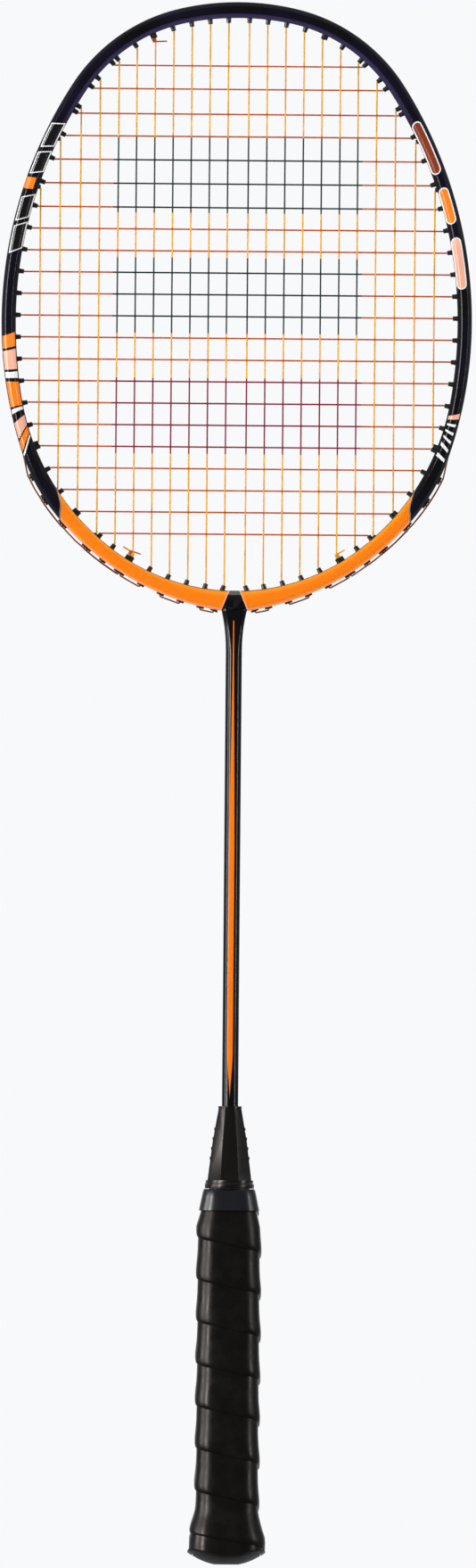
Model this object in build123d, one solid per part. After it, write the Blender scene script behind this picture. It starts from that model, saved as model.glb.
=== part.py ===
from build123d import *

import os
from dataclasses import dataclass
from math import acos, asin, atan2, ceil, cos, degrees, hypot, pi, radians, sin, sqrt

# Badminton racket, built as it comes apart on a bench: an open carbon hoop, the
# T-piece at the throat, the shaft, the cone, the wooden handle with its butt cap,
# the wound grip and its finishing tape, the grommets, and two lengths of string.
#
# Millimetres. +Z runs from the butt to the crown, X is the width of the head and
# Y is its depth, with the string bed in the plane Y = 0. The origin is the middle
# of the flat on the butt cap.
#
# A heading is the direction that the hoop's surface faces, in degrees from the
# crown: 0 at the crown, 90 at the widest point, 180 at the throat. It is positive
# on the right of the racket (+X) and negative on the left.

os.makedirs("parts", exist_ok=True)

# ---------------------------------------------------------------- driving sizes
# Head
frame_length = 675.0              # butt to the top of the hoop
head_width = 203.4                # outside of the hoop at its widest
crown_to_widest = 138.3           # from the top of the hoop down to its widest point
side_wall = 6.3                   # hoop, inside to outside, at its widest
crown_wall = 7.0                  # hoop, inside to outside, at the crown
opening_length = 247.3            # inside of the hoop, from its crown to its foot
foot_wall = 9.5                   # hoop at its foot, down to where its edge would meet the axis
shoulder_radius = 75.6            # outside corner arcs of the upper half
shoulder_start = 13.2             # headings between which the shoulder arc runs
shoulder_end = 57.4
hip_radius = 87.0                 # outside corner arcs of the lower half
hip_start = 48.7                  # the same, from the throat up
hip_end = 71.5
keel_angle = 6.1                  # slope of the lower edge where it meets the axis
inner_shoulder_radius = 68.4
inner_shoulder_start = 11.0
inner_shoulder_end = 56.9
inner_hip_radius = 102.5
inner_hip_start = 35.9
inner_hip_end = 80.2
frame_depth = 10.6
frame_wall = 1.3                  # wall of the sockets at the hoop's ends
socket_depth_wall = 1.9           # the same, front and back
outer_bevel_width = 1.6           # bevels along the front and back of the hoop
outer_bevel_depth = 2.7
inner_bevel_width = 1.9
inner_bevel_depth = 2.9
groove_width = 3.9                # string groove round the outside
groove_depth = 1.7
groove_reach = 202.5              # from the crown down to where the groove stops

# Strings
string_diameter = 0.7
string_sides = 4                  # flats on a modelled string, of the same area
main_count = 22
middle_main_gap = 8.9
outer_main_gap = 10.21            # from the outermost main to the side of the opening
outer_pitch_ratio = 1.0734        # the last few mains each side stand wider, by this ratio
wide_mains = 3
cross_count = 22
crown_to_first_cross = 20.6       # from the top of the opening
foot_to_last_cross = 24.3         # from the foot of the opening
upper_pitch_ratio = 1.0883        # crosses near the crown stand wider, by this ratio
upper_crosses = 6                 # gaps that are wider so
weave_clearance = 0.04            # between a straight cross and the main that it passes
slope_clearance = 0.15            # the same, for a cross that bends over the main
weave_rest = 0.4                  # half of its flat over a main that stands near its hole
weave_room = 4.5                  # a hole closer than this is near
main_settle = 0.8                 # a main has reached its side this far before a cross

# Grommets
barrel_size = 1.9
barrel_sides = 4
barrel_reach = 1.8                # how far a barrel stands into the opening
bore_clearance = 0.16             # round the string, inside a barrel
hole_clearance = 0.1              # round a barrel, inside the hoop
mouth_gap = 0.4                   # from a barrel's tip to where the string bends
sleeve_rise = 0.7                 # how far a barrel ends above the groove's floor
flange_length = 3.3               # flanges of the grommets at the foot, below the groove
flange_width = 3.7
flange_thickness = 0.8
flange_gap = 0.3                  # least gap between two flanges
twin_limit = 4.2                  # a main and a cross closer than this share a hole
upper_twin_gap = 2.6              # between their strings, in a shared hole
lower_twin_gap = 1.6
tie_spread = 0.9                  # between the strings in a tie-off's hole
hole_pitch = 2.7                  # least distance between two holes, at their tips
throat_splay = 19.0               # extra tilt of the two holes next to the throat
foot_splay = 5.0                  # and of the other main holes at the foot
splayed_mains = 6                 # foot holes each side that are tilted so
loop_lane = 0.8                   # a loop that passes other strings runs this far aside
tie_lane = 1.5                    # and the run to a tie-off this far
lane_run = 0.45                   # distance over which a string moves to its lane
level_run = 2.2                   # a loop leaves the foot's level this far below the groove
loop_clearance = 0.25             # under a loop, over the flanges
loop_bulge = 0.12                 # how far a straight run of loop may stand off its curve
top_tie_main = 6                  # mains, counted from 0 at the side, with tie-offs
foot_tie_main = 5
top_tie_strings = 1               # string ends that fit in a tie-off's hole
foot_tie_strings = 2

# Knots
knot_size = 2.0
knot_length = 1.7
knot_clearance = 0.05
tail_length = 5.0
tail_angle = 60.0                 # from the main string that carries the knot

# Throat and shaft
hub_top_half_width = 2.1          # T-piece between the hoop's ends, at the opening
hub_foot_half_width = 5.9         # and at the hoop's lower edge
hub_wall_clearance = 0.05         # between the T-piece and the cut ends
arm_reach = 24.0                  # arms inside the hoop, from the axis
arm_clearance = 0.15
neck_length = 18.2                # from where the hoop's edge meets the axis
neck_flare_width = 11.8           # neck where it meets the hoop
neck_flare_depth = 9.6
neck_spans = 3                    # straight-sided lengths that its curve is made of
spigot_length = 32.0
spigot_clearance = 0.1
shaft_diameter = 7.1
shaft_wall = 1.15
shaft_socket_length = 70.4        # how far the shaft runs into the handle
shaft_clearance = 0.1

# Handle
handle_width = 24.0
handle_flatness = 2.8             # how much less deep than wide the handle is
bevel_share = 6.0                 # the handle's width over its bevel's width
butt_width = 29.4
butt_height = 12.0                # top of the straight part of the butt
flare_height = 23.5               # where the flare ends and the handle proper begins
taper_length = 16.4               # the handle narrows to the cone over this length
handle_top_height = 162.4
handle_top_width = 17.4
handle_plug_width = 12.0          # eight-sided end of the wood, inside the cone
handle_plug_length = 10.0
shaft_foot_gap = 4.0              # under the shaft, inside the handle
cap_thickness = 6.0
cap_plug_width = 12.0             # square plug under the cap
cap_plug_length = 9.0
cap_clearance = 0.15
dome_radius = 27.0                # rounding of the whole butt end
land_drop = 0.5                   # how much of the dome's tip is cut flat

# Grip
grip_pitch = 18.24
grip_seam_height = 24.3           # height of one lap edge at the +X side
lap_thickness = 2.25              # grip at a turn's lower, lapping edge
base_thickness = 1.4              # and at its upper, covered edge
grip_end_gap = 1.8                # from the end of the grip to the cone
strip_steps = 2                   # modelled bands across a turn
tape_width = 9.4
tape_end_gap = 0.2                # from the tape to the cone
tape_thickness = 0.25
tape_core_clearance = 0.05

# Cone
collar_diameter = 21.3
collar_height = 3.6
collar_step = 0.35
collar_step_height = 1.3
cone_foot_width = 19.0
cone_middle_width = 14.9
cone_waist_share = 0.5125         # how far up the cone its sides begin to lean in more
cone_top_width = 9.5
cone_length = 32.0                # above the collar
cone_lip_diameter = 10.2
cone_lip_height = 0.9
cone_shaft_clearance = 0.1
plug_clearance = 0.15
rib_count = 4
rib_pitch = 4.2
rib_start_height = 9.5            # first rib, above the collar
rib_width = 3.2
rib_height = 1.3
rib_proud = 0.3

# ---------------------------------------------------------------- derived sizes
string_flat = string_diameter * sqrt(pi) / 2
foot_lift = flange_thickness + string_flat / 2 + loop_clearance
groove_lift = sleeve_rise - groove_depth + string_flat / 2 + loop_clearance
main_lift = string_flat + weave_clearance
cross_lift = main_lift + string_flat + slope_clearance
regular_bevel = 1 - 1 / sqrt(2)   # share of a regular octagon's width
cone_base_height = handle_top_height + collar_height
cone_top_height = cone_base_height + cone_length
cone_waist_height = cone_length * cone_waist_share
neck_start_height = handle_top_height - taper_length
shaft_foot_height = handle_top_height - shaft_socket_length
handle_bore_foot = shaft_foot_height - shaft_foot_gap
grip_top_height = handle_top_height - grip_end_gap
tape_top_height = handle_top_height - tape_end_gap
tape_foot_height = tape_top_height - tape_width
opening_width = head_width - 2 * side_wall
opening_top_height = frame_length - crown_wall
opening_foot_height = opening_top_height - opening_length
throat_height = opening_foot_height - foot_wall
widest_height = frame_length - crown_to_widest
groove_foot_height = frame_length - groove_reach
neck_foot_height = throat_height - neck_length
main_half = main_count // 2


# ---------------------------------------------------------------- hoop outlines
def facing(heading):
    """Unit vector, as (x, z), of a heading on the right half."""
    return sin(radians(heading)), cos(radians(heading))


@dataclass
class Arc:
    """One arc of an outline's right half, between two headings."""

    cx: float
    cz: float
    radius: float
    start: float
    end: float


@dataclass
class End:
    """The crown or foot end of an outline: its tip and its corner arc."""

    tip: float
    corner_radius: float
    corner_start: float
    corner_end: float
    slope: float = 0.0


def end_radii(end, half_width, reach):
    """Radii of the tip arc and the side arc that join a corner arc tangentially."""
    s0, s1, s2 = (sin(radians(a)) for a in (end.slope, end.corner_start, end.corner_end))
    c0, c1, c2 = (cos(radians(a)) for a in (end.slope, end.corner_start, end.corner_end))
    across = half_width - end.corner_radius * (s2 - s1)
    along = reach - end.corner_radius * (c1 - c2)
    scale_ = (s1 - s0) * c2 - (1 - s2) * (c0 - c1)
    tip_radius = (across * c2 - along * (1 - s2)) / scale_
    side_radius = (along * (s1 - s0) - across * (c0 - c1)) / scale_
    return tip_radius, side_radius


class Outline:
    """An egg-shaped closed curve of tangent arcs, the same on both sides of the axis."""

    def __init__(self, width, widest, crown, foot):
        crown_tip, upper_side = end_radii(crown, width / 2, crown.tip - widest)
        foot_tip, lower_side = end_radii(foot, width / 2, widest - foot.tip)
        runs = [
            (crown_tip, 0.0, crown.corner_start),
            (crown.corner_radius, crown.corner_start, crown.corner_end),
            (upper_side, crown.corner_end, 90.0),
            (lower_side, 90.0, 180.0 - foot.corner_end),
            (foot.corner_radius, 180.0 - foot.corner_end, 180.0 - foot.corner_start),
            (foot_tip, 180.0 - foot.corner_start, 180.0 - foot.slope),
        ]
        self.arcs = []
        x, z = 0.0, crown.tip
        for radius, start, end in runs:
            nx, nz = facing(start)
            arc = Arc(x - radius * nx, z - radius * nz, radius, start, end)
            self.arcs.append(arc)
            nx, nz = facing(end)
            x, z = arc.cx + radius * nx, arc.cz + radius * nz

    def arc_at(self, heading):
        """The arc that holds a heading, of either sign."""
        turn = abs(heading)
        return next((a for a in self.arcs if turn <= a.end), self.arcs[-1])

    def point(self, heading, lift=0.0):
        """The point (x, z) at a heading, lift millimetres outside the curve."""
        arc = self.arc_at(heading)
        nx, nz = facing(abs(heading))
        side = -1 if heading < 0 else 1
        return side * (arc.cx + (arc.radius + lift) * nx), arc.cz + (arc.radius + lift) * nz

    def heading_at_x(self, x, upper, lift=0.0):
        """Heading of the curve's point at a distance x from the axis."""
        for arc in self.arcs:
            ratio = (abs(x) - arc.cx) / (arc.radius + lift)
            if abs(ratio) > 1 or (arc.end > 90) == upper:
                continue
            turn = degrees(asin(ratio))
            turn = turn if upper else 180 - turn
            if arc.start - 0.01 <= turn <= arc.end + 0.01:
                return turn if x >= 0 else -turn
        raise ValueError("no point of the hoop at that distance")

    def heading_at_z(self, z, side, lift=0.0):
        """Heading of the curve's point at a height z, on the side +1 or -1."""
        for arc in self.arcs:
            ratio = (z - arc.cz) / (arc.radius + lift)
            if abs(ratio) <= 1:
                turn = degrees(acos(ratio))
                if arc.start - 0.01 <= turn <= arc.end + 0.01:
                    return side * turn
        raise ValueError("no point of the hoop at that height")

    def crossing(self, x, z, ux, uz):
        """Distance and heading at which a ray from inside leaves the right half."""
        for arc in self.arcs:
            px, pz = x - arc.cx, z - arc.cz
            along = px * ux + pz * uz
            root = along * along - px * px - pz * pz + arc.radius**2
            if root < 0:
                continue
            distance = sqrt(root) - along
            turn = degrees(atan2(px + distance * ux, pz + distance * uz)) % 360
            if arc.start - 0.01 <= turn <= arc.end + 0.01:
                return distance, turn
        raise ValueError("the ray misses the hoop")

    def face(self, lift=0.0):
        """The area inside the curve, lift millimetres outside it, in the plane Y = 0."""
        edges = []
        for side in (1, -1):
            for arc in self.arcs:
                radius, end = arc.radius + lift, arc.end
                if arc is self.arcs[-1]:
                    end = 180 + degrees(asin(arc.cx / radius))
                points = []
                for turn in (arc.start, (arc.start + end) / 2, end):
                    nx, nz = facing(turn)
                    points.append(Vector(side * (arc.cx + radius * nx), 0, arc.cz + radius * nz))
                edges.append(Edge.make_three_point_arc(*points))
        return Face(Wire(edges))


outer = Outline(
    head_width, widest_height,
    End(frame_length, shoulder_radius, shoulder_start, shoulder_end),
    End(throat_height, hip_radius, hip_start, hip_end, keel_angle),
)
inner = Outline(
    opening_width, widest_height,
    End(opening_top_height, inner_shoulder_radius, inner_shoulder_start, inner_shoulder_end),
    End(opening_foot_height, inner_hip_radius, inner_hip_start, inner_hip_end),
)


def in_groove(heading):
    """Whether the string groove runs past a heading."""
    return outer.point(heading)[1] > groove_foot_height


# ------------------------------------------------------------- string positions
class Strand:
    """One string's way through the hoop, from where it bends in the opening."""

    def __init__(self, side, x, z, ux, uz):
        self.side, self.x, self.z, self.ux, self.uz = side, x, z, ux, uz
        self.reach, turn = outer.crossing(x, z, ux, uz)
        self.exit_heading = side * turn
        self.sunk = in_groove(self.exit_heading)

    def exit(self):
        """Point where the string turns from the hole into a loop."""
        return self.at(self.reach + (groove_lift if self.sunk else foot_lift))

    def at(self, distance, lane=0.0):
        """Point on the way, a distance out from the bend."""
        return Vector(self.side * (self.x + distance * self.ux), lane,
                      self.z + distance * self.uz)


@dataclass
class Port:
    """A hole through the hoop for a string, a main and a cross, or a tie-off."""

    heading: float
    splay: float = 0.0
    gap: float = 0.0              # from the cross to the main that shares its hole
    main_x: float = 0.0           # that main's distance from the racket's axis
    ties: int = 0                 # string ends that can be tied off here

    def __post_init__(self):
        self.side = -1 if self.heading < 0 else 1
        self.upper = abs(self.heading) < 90
        self.away = 1 if self.upper else -1
        self.spread = self.gap + self.ties * tie_spread
        self.ux, self.uz = facing(abs(self.heading) - self.splay)
        self.x, self.z = inner.point(abs(self.heading), -barrel_reach - mouth_gap)
        self.depth = 0.0
        if self.gap:
            shifted = self.x + self.away * self.gap * self.uz
            self.depth = max(0.0, (self.main_x - shifted) / self.ux)

    def strand(self, offset_=0.0, depth=0.0):
        """The way of a string, offset from the hole's first string, away from the tip."""
        shift = self.away * offset_
        x = self.x + shift * self.uz + depth * self.ux
        z = self.z - shift * self.ux + depth * self.uz
        return Strand(self.side, x, z, self.ux, self.uz)

    def main(self):
        """The way of the main through this hole."""
        return self.strand(self.gap, self.depth)

    def tie(self, number):
        """The way of a tied-off string end through this hole, counted from 1."""
        return self.strand(number * tie_spread)

    def plane(self, offset_, distance):
        """Plane across the hole: its X runs along the hoop and its Z runs outward."""
        strand = self.strand(offset_)
        return Plane(
            origin=strand.at(distance),
            x_dir=(self.side * self.uz, 0, -self.ux),
            z_dir=(self.side * self.ux, 0, self.uz),
        )

    def seat(self):
        """Plane on the hoop's outside, where the flange lies."""
        heading = self.strand(self.spread / 2).exit_heading
        x, z = outer.point(heading)
        nx, nz = facing(abs(heading))
        return Plane(origin=(x, 0, z), x_dir=(self.side * nz, 0, -nx),
                     z_dir=(self.side * nx, 0, nz))


def main_offsets():
    """Distances of the mains from the axis, from the outermost to the middle one."""
    ratios = [1.0] * (main_half - 1 - wide_mains) + [outer_pitch_ratio] * wide_mains
    first, last = middle_main_gap / 2, opening_width / 2 - outer_main_gap
    pitch = (last - first) / sum(ratios)
    offsets = [first]
    for ratio in ratios:
        offsets.append(offsets[-1] + pitch * ratio)
    return offsets[::-1]


def cross_heights():
    """Heights of the crosses, from the crown down."""
    ratios = [upper_pitch_ratio] * upper_crosses + [1.0] * (cross_count - 1 - upper_crosses)
    first = opening_top_height - crown_to_first_cross
    pitch = (first - opening_foot_height - foot_to_last_cross) / sum(ratios)
    heights = [first]
    for ratio in ratios:
        heights.append(heights[-1] - pitch * ratio)
    return heights


def foot_splay_of(index):
    """Extra tilt of a main's foot hole, for a main counted from the side."""
    if index == main_half - 1:
        return throat_splay
    return foot_splay if index >= main_half - splayed_mains else 0.0


def right_ports():
    """Ports of the right half: top and foot ends of the mains, and the cross ends."""
    bend = -barrel_reach - mouth_gap
    crosses = [Port(inner.heading_at_z(height, 1, bend)) for height in cross_heights()]
    rows = []
    for upper in (True, False):
        row = []
        gap = upper_twin_gap if upper else lower_twin_gap
        tie_main, ties = (
            (top_tie_main, top_tie_strings) if upper else (foot_tie_main, foot_tie_strings)
        )
        for index, across in enumerate(main_offsets()):
            mx, mz = inner.point(inner.heading_at_x(across, upper))
            port = None
            for number, height in enumerate(cross_heights()):
                cx, cz = inner.point(inner.heading_at_z(height, 1))
                if hypot(mx - cx, mz - cz) < twin_limit:
                    port = Port(crosses[number].heading, gap=gap, main_x=across)
                    crosses[number] = port
            if port is None:
                splay = 0.0 if upper else foot_splay_of(index)
                heading = inner.heading_at_x(across, upper, bend)
                port = Port(heading, splay, ties=ties if index == tie_main else 0)
            row.append(port)
        rows.append(row)
    return rows[0], rows[1], crosses


def spread_holes(ports):
    """Move holes apart along the hoop where two stand closer than the least pitch."""
    rows = sorted(ports, key=lambda p: p.heading)
    for low, high in zip(rows, rows[1:]):
        short = hole_pitch - hypot(low.x - high.x, low.z - high.z)
        if short > 0:
            turn = degrees(short / 2 / inner.arc_at(low.heading).radius)
            low.heading -= turn
            high.heading += turn
            low.__post_init__()
            high.__post_init__()


def mirrored(port):
    """The same port on the left half."""
    return Port(-port.heading, port.splay, port.gap, port.main_x, port.ties)


right_tops, right_feet, right_crosses = right_ports()
right_set = {id(p): p for p in right_tops + right_feet + right_crosses}
spread_holes(right_set.values())
left_set = {key: mirrored(p) for key, p in right_set.items()}
left_crosses = [left_set[id(p)] for p in right_crosses]
main_tops = [left_set[id(p)] for p in right_tops] + right_tops[::-1]      # left to right
main_feet = [left_set[id(p)] for p in right_feet] + right_feet[::-1]
all_ports = list(right_set.values()) + list(left_set.values())


def flange_size(port):
    """Length of a grommet's flange: shorter where a neighbour stands close."""
    here = port.seat().origin
    others = [p for p in all_ports if p is not port]
    near = min(others, key=lambda p: (p.seat().origin - here).length)
    room = (near.seat().origin - here).length - (port.spread + near.spread) / 2 - flange_gap
    return min(flange_length, room) + port.spread


def main_layer(index):
    """Depth at which a main lies: neighbours lie on either side of Y = 0."""
    return main_lift if index % 2 == 0 else -main_lift


def main_points(index):
    """Points of one main from its foot to its top, eased to its side of the bed."""
    foot, top = main_feet[index].main().at(0), main_tops[index].main().at(0)
    met = []
    for left, right, height in zip(left_crosses, right_crosses, cross_heights()):
        if left.strand().at(0).X < foot.X < right.strand().at(0).X:
            met.append(height)
    points = [foot]
    for height in (min(met) - main_settle, max(met) + main_settle):
        share = min(max((height - foot.Z) / (top.Z - foot.Z), 0.002), 0.998)
        x = foot.X + share * (top.X - foot.X)
        z = foot.Z + share * (top.Z - foot.Z)
        points.append(Vector(x, main_layer(index), z))
    return points + [top]


def cross_points(index):
    """Points of one cross, left to right: straight between the layers, or woven."""
    start = left_crosses[index].strand().at(0)
    end = right_crosses[index].strand().at(0)
    points = [start]
    for main in range(main_count):
        foot, low, high, top = main_points(main)
        if index % 2 == 0 or not (start.X < low.X < end.X and foot.Z < start.Z < top.Z):
            continue
        share = (start.Z - low.Z) / (high.Z - low.Z)
        x = low.X + share * (high.X - low.X)
        lift = cross_lift if main % 2 == 0 else -cross_lift
        if x - start.X < weave_room:
            points.append(Vector(x - weave_rest, lift, start.Z))
        points.append(Vector(x, lift, start.Z))
        if end.X - x < weave_room:
            points.append(Vector(x + weave_rest, lift, start.Z))
    return points + [end]


def groove_run(start, end, lane):
    """Points along the outside of the hoop between two headings, in one lane."""
    sign = 1 if end > start else -1
    side = -1 if start < 0 else 1
    radius = outer.arc_at((start + end) / 2).radius
    first = start + sign * degrees(lane_run / radius) if lane else start
    last = end - sign * degrees(lane_run / radius) if lane else end
    step = 2 * degrees(acos(1 - loop_bulge / radius))
    steps = max(1, ceil(abs(last - first) / step))
    turns = [first + (last - first) * number / steps for number in range(steps + 1)]
    turns = turns if lane else turns[1:-1]
    if in_groove(start) != in_groove(end):
        level = groove_foot_height - level_run
        turns = [t for t in turns if not 0 < outer.point(t)[1] - level < 3 * level_run]
        turns.append(outer.heading_at_z(level, side))
        turns.sort(reverse=sign < 0)
    points = []
    for turn in turns:
        sunk = outer.point(turn)[1] > groove_foot_height - level_run + 0.01
        x, z = outer.point(turn, groove_lift if sunk else foot_lift)
        points.append(Vector(x, lane, z))
    return points


def all_exits():
    """Headings at which the mains and the crosses leave the hoop."""
    mains = [p.main().exit_heading for p in main_tops + main_feet]
    return mains + [p.strand().exit_heading for p in left_crosses + right_crosses]


def loop_points(strand, other, lane):
    """Points of a loop: out of one hole, along the hoop and into the other."""
    low, high = sorted((strand.exit_heading, other.exit_heading))
    passed = [turn for turn in all_exits() if low + 0.1 < turn < high - 0.1]
    run = groove_run(strand.exit_heading, other.exit_heading, lane if passed else 0.0)
    return [strand.exit()] + run + [other.exit()]


def main_string_runs():
    """The main string from its left end to its right end, as runs from hole to hole."""
    hidden = 2 * mouth_gap
    start = main_feet[foot_tie_main].tie(1)
    finish = main_feet[main_count - 1 - foot_tie_main].tie(1)
    runs = [[start.at(hidden)] + loop_points(start, main_feet[0].main(), tie_lane)]
    for index in range(main_count):
        rising = index % 2 == 0
        runs.append(main_points(index) if rising else main_points(index)[::-1])
        if index < main_count - 1:
            row = main_tops if rising else main_feet
            runs[-1] += loop_points(row[index].main(), row[index + 1].main(), loop_lane)
    runs[-1] += loop_points(main_feet[-1].main(), finish, tie_lane) + [finish.at(hidden)]
    return runs


def cross_string_runs():
    """The cross string from its upper end to its lower end, as runs from hole to hole."""
    hidden = 2 * mouth_gap
    start, finish = main_tops[top_tie_main].tie(1), main_feet[foot_tie_main].tie(2)
    runs = [[start.at(hidden)] + loop_points(start, left_crosses[0].strand(), -tie_lane)]
    for index in range(cross_count):
        row = cross_points(index)
        rightward = index % 2 == 0
        runs.append(row if rightward else row[::-1])
        if index < cross_count - 1:
            side = right_crosses if rightward else left_crosses
            runs[-1] += loop_points(side[index].strand(), side[index + 1].strand(), -loop_lane)
    last = loop_points(left_crosses[-1].strand(), finish, -tie_lane)
    runs[-1] += last + [finish.at(hidden)]
    return runs


# ------------------------------------------------------------------ small tools
def polyhedron(triangles_and_quads):
    """A solid from flat faces given as lists of points."""
    faces = [Face(Wire.make_polygon(points, close=True)) for points in triangles_and_quads]
    return Solid(Shell(faces))


def string_section(centre, run, across):
    """Corners of a flat-sided section across a run, with two flats facing Y."""
    radius = across / 2 / cos(pi / string_sides)
    side = run.cross(Vector(0, 1, 0)).normalized()
    depth = side.cross(run).normalized()
    turns = [2 * pi * (i + 0.5) / string_sides for i in range(string_sides)]
    return [centre + depth * (radius * cos(t)) + side * (radius * sin(t)) for t in turns]


def slid(ring, run, corner, normal):
    """A section moved along its run on to the plane through a corner."""
    return [p + run * ((corner - p).dot(normal) / run.dot(normal)) for p in ring]


def mitred_string(routes, across):
    """A string of flat-sided section along straight runs, mitred at every bend."""
    points = [p for route in routes for p in route]
    starts = set()
    for route in routes[:-1]:
        starts.add(len(route) + max(starts, default=0))
    runs = [(b - a).normalized() for a, b in zip(points, points[1:])]
    ring = string_section(points[0], runs[0], across)
    rings = [ring]
    faces = [ring[::-1]]
    for index, run in enumerate(runs):
        corner, last = points[index + 1], index + 1 == len(runs)
        normal = run if last else (run + runs[index + 1]).normalized()
        slid_ring = slid(rings[-1], run, corner, normal)
        ring = slid_ring
        if index + 1 in starts:
            fresh = string_section(corner, runs[index + 1], across)
            fresh = slid(fresh, runs[index + 1], corner, normal)
            turned = [fresh[k:] + fresh[:k] for k in range(string_sides)]
            ring = min(turned, key=lambda r: sum((a - b).length for a, b in zip(r, slid_ring)))
        low = rings[-1]
        for i in range(string_sides):
            j = (i + 1) % string_sides
            if ring is slid_ring:
                faces.append([low[i], low[j], ring[j], ring[i]])
            else:
                faces.append([low[i], low[j], ring[j]])
                faces.append([low[i], ring[j], ring[i]])
        rings.append(ring)
    faces.append(rings[-1])
    return polyhedron(faces)


def octagon_corners(width, depth, bevel):
    """Corners of a bevelled rectangle, anticlockwise from the +X face."""
    w, d = width / 2, depth / 2
    right = [(w, d - bevel), (w - bevel, d)]
    left = [(bevel - w, d), (-w, d - bevel)]
    return right + left + [(-x, -y) for x, y in right] + [(-x, -y) for x, y in left]


def octagon_face(height, width, depth, bevel):
    """A horizontal eight-sided face."""
    return Face(Wire.make_polygon([(x, y, height) for x, y in octagon_corners(width, depth, bevel)]))


def slot_prism(plane, length, size, sides, stretch=0.0):
    """A prism of flats `size` apart; a stretched one is a rectangle longer in X."""
    if stretch or sides == 4:
        profile = Rectangle(size + stretch, size)
    else:
        profile = RegularPolygon(size / 2 / cos(pi / sides), sides, rotation=180 / sides)
    return extrude(plane * profile, amount=length)


# ------------------------------------------------------------------------- hoop
def hoop_ring():
    """The closed hoop with its bevels, before it is cut open at the throat."""
    ring = extrude(outer.face() - inner.face(), amount=frame_depth / 2, both=True)
    for sign in (1, -1):
        flat = ring.faces().sort_by(Axis.Y)[-1 if sign > 0 else 0]
        ring = chamfer(flat.outer_wire().edges(), outer_bevel_width, outer_bevel_depth,
                       reference=flat)
        flat = ring.faces().sort_by(Axis.Y)[-1 if sign > 0 else 0]
        ring = chamfer(flat.inner_wires()[0].edges(), inner_bevel_width, inner_bevel_depth,
                       reference=flat)
    return ring


def sockets(clearance):
    """The sockets in the hoop's two ends, less a clearance all round."""
    inset = frame_wall + clearance
    band = outer.face(-inset) - inner.face(inset)
    reach = arm_reach + arm_clearance - clearance
    space = extrude(band, amount=frame_depth / 2 - socket_depth_wall - clearance, both=True)
    return space & (Pos(0, 0, opening_foot_height) * Box(2 * reach, frame_depth, 4 * crown_wall))


def throat_wedge(clearance):
    """The wedge of hoop that the T-piece takes the place of."""
    rise = opening_foot_height - throat_height
    lean = (hub_foot_half_width - hub_top_half_width) / rise
    low, high = throat_height - 2, opening_foot_height + 2
    foot = hub_foot_half_width + 2 * lean + clearance
    top = hub_top_half_width - 2 * lean + clearance
    outline = Polyline((-foot, low), (foot, low), (top, high), (-top, high), close=True)
    return extrude(Plane.XZ * make_face(outline), amount=frame_depth, both=True)


def frame_holes():
    """Prisms that cut the string holes."""
    size = barrel_size + 2 * hole_clearance
    return [
        slot_prism(p.plane(p.spread / 2, 0), frame_depth + crown_wall, size, barrel_sides, p.spread)
        for p in all_ports
    ]


def string_groove():
    """The groove round the hoop's outside, down to where it stops."""
    band = outer.face(1.0) - outer.face(-groove_depth)
    upper = Pos(0, 0, groove_foot_height) * Box(
        2 * head_width, frame_depth, frame_length, align=(Align.CENTER, Align.CENTER, Align.MIN))
    return extrude(band, amount=groove_width / 2, both=True) & upper


def make_head_frame(ring, holes):
    """The carbon hoop, from one cut end to the other."""
    open_ring = ring - sockets(0.0) - string_groove() - throat_wedge(hub_wall_clearance)
    return open_ring - holes


def make_throat_joint(ring, holes):
    """The T-piece: hub between the hoop's ends, arms inside them, neck and spigot."""
    hub = ring & throat_wedge(0.0)
    arms = sockets(arm_clearance)
    rise = throat_height + 1.0 - neck_foot_height
    sections = []
    for step in range(neck_spans + 1):
        share = step / neck_spans
        width = shaft_diameter + (neck_flare_width - shaft_diameter) * share**3
        depth = shaft_diameter + (neck_flare_depth - shaft_diameter) * share**2
        sections.append(
            Pos(0, 0, neck_foot_height + rise * share) * Ellipse(width / 2, depth / 2)
        )
    above = Pos(0, 0, throat_height + outer_bevel_width) * Box(
        frame_depth * 2, frame_depth * 2, crown_wall, align=(Align.CENTER, Align.CENTER, Align.MIN))
    neck = loft(sections, ruled=True) - (ring - throat_wedge(0.0)) - above
    bore = shaft_diameter - 2 * shaft_wall - 2 * spigot_clearance
    spigot = Pos(0, 0, neck_foot_height + 1) * Cylinder(
        bore / 2, spigot_length + 1, align=(Align.CENTER, Align.CENTER, Align.MAX)
    )
    return (hub + arms + neck + spigot) - holes


# ------------------------------------------------------------------------ shaft
def make_shaft():
    """The hollow shaft, from inside the handle to the neck of the T-piece."""
    base = (Align.CENTER, Align.CENTER, Align.MIN)
    length = neck_foot_height - shaft_foot_height
    tube = Cylinder(shaft_diameter / 2, length, align=base)
    tube -= Cylinder(shaft_diameter / 2 - shaft_wall, length, align=base)
    return Pos(0, 0, shaft_foot_height) * tube


# ----------------------------------------------------------------------- handle
def handle_section(height):
    """Width, depth and bevel of the wooden handle at a height."""
    stations = [
        (butt_height, butt_width), (flare_height, handle_width),
        (neck_start_height, handle_width), (handle_top_height, handle_top_width),
    ]
    height = min(max(height, stations[0][0]), stations[-1][0])
    width = stations[-1][1]
    for (z0, w0), (z1, w1) in zip(stations, stations[1:]):
        if z0 <= height <= z1:
            width = w0 + (w1 - w0) * (height - z0) / (z1 - z0)
            break
    return width, width - handle_flatness, width / bevel_share


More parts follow.
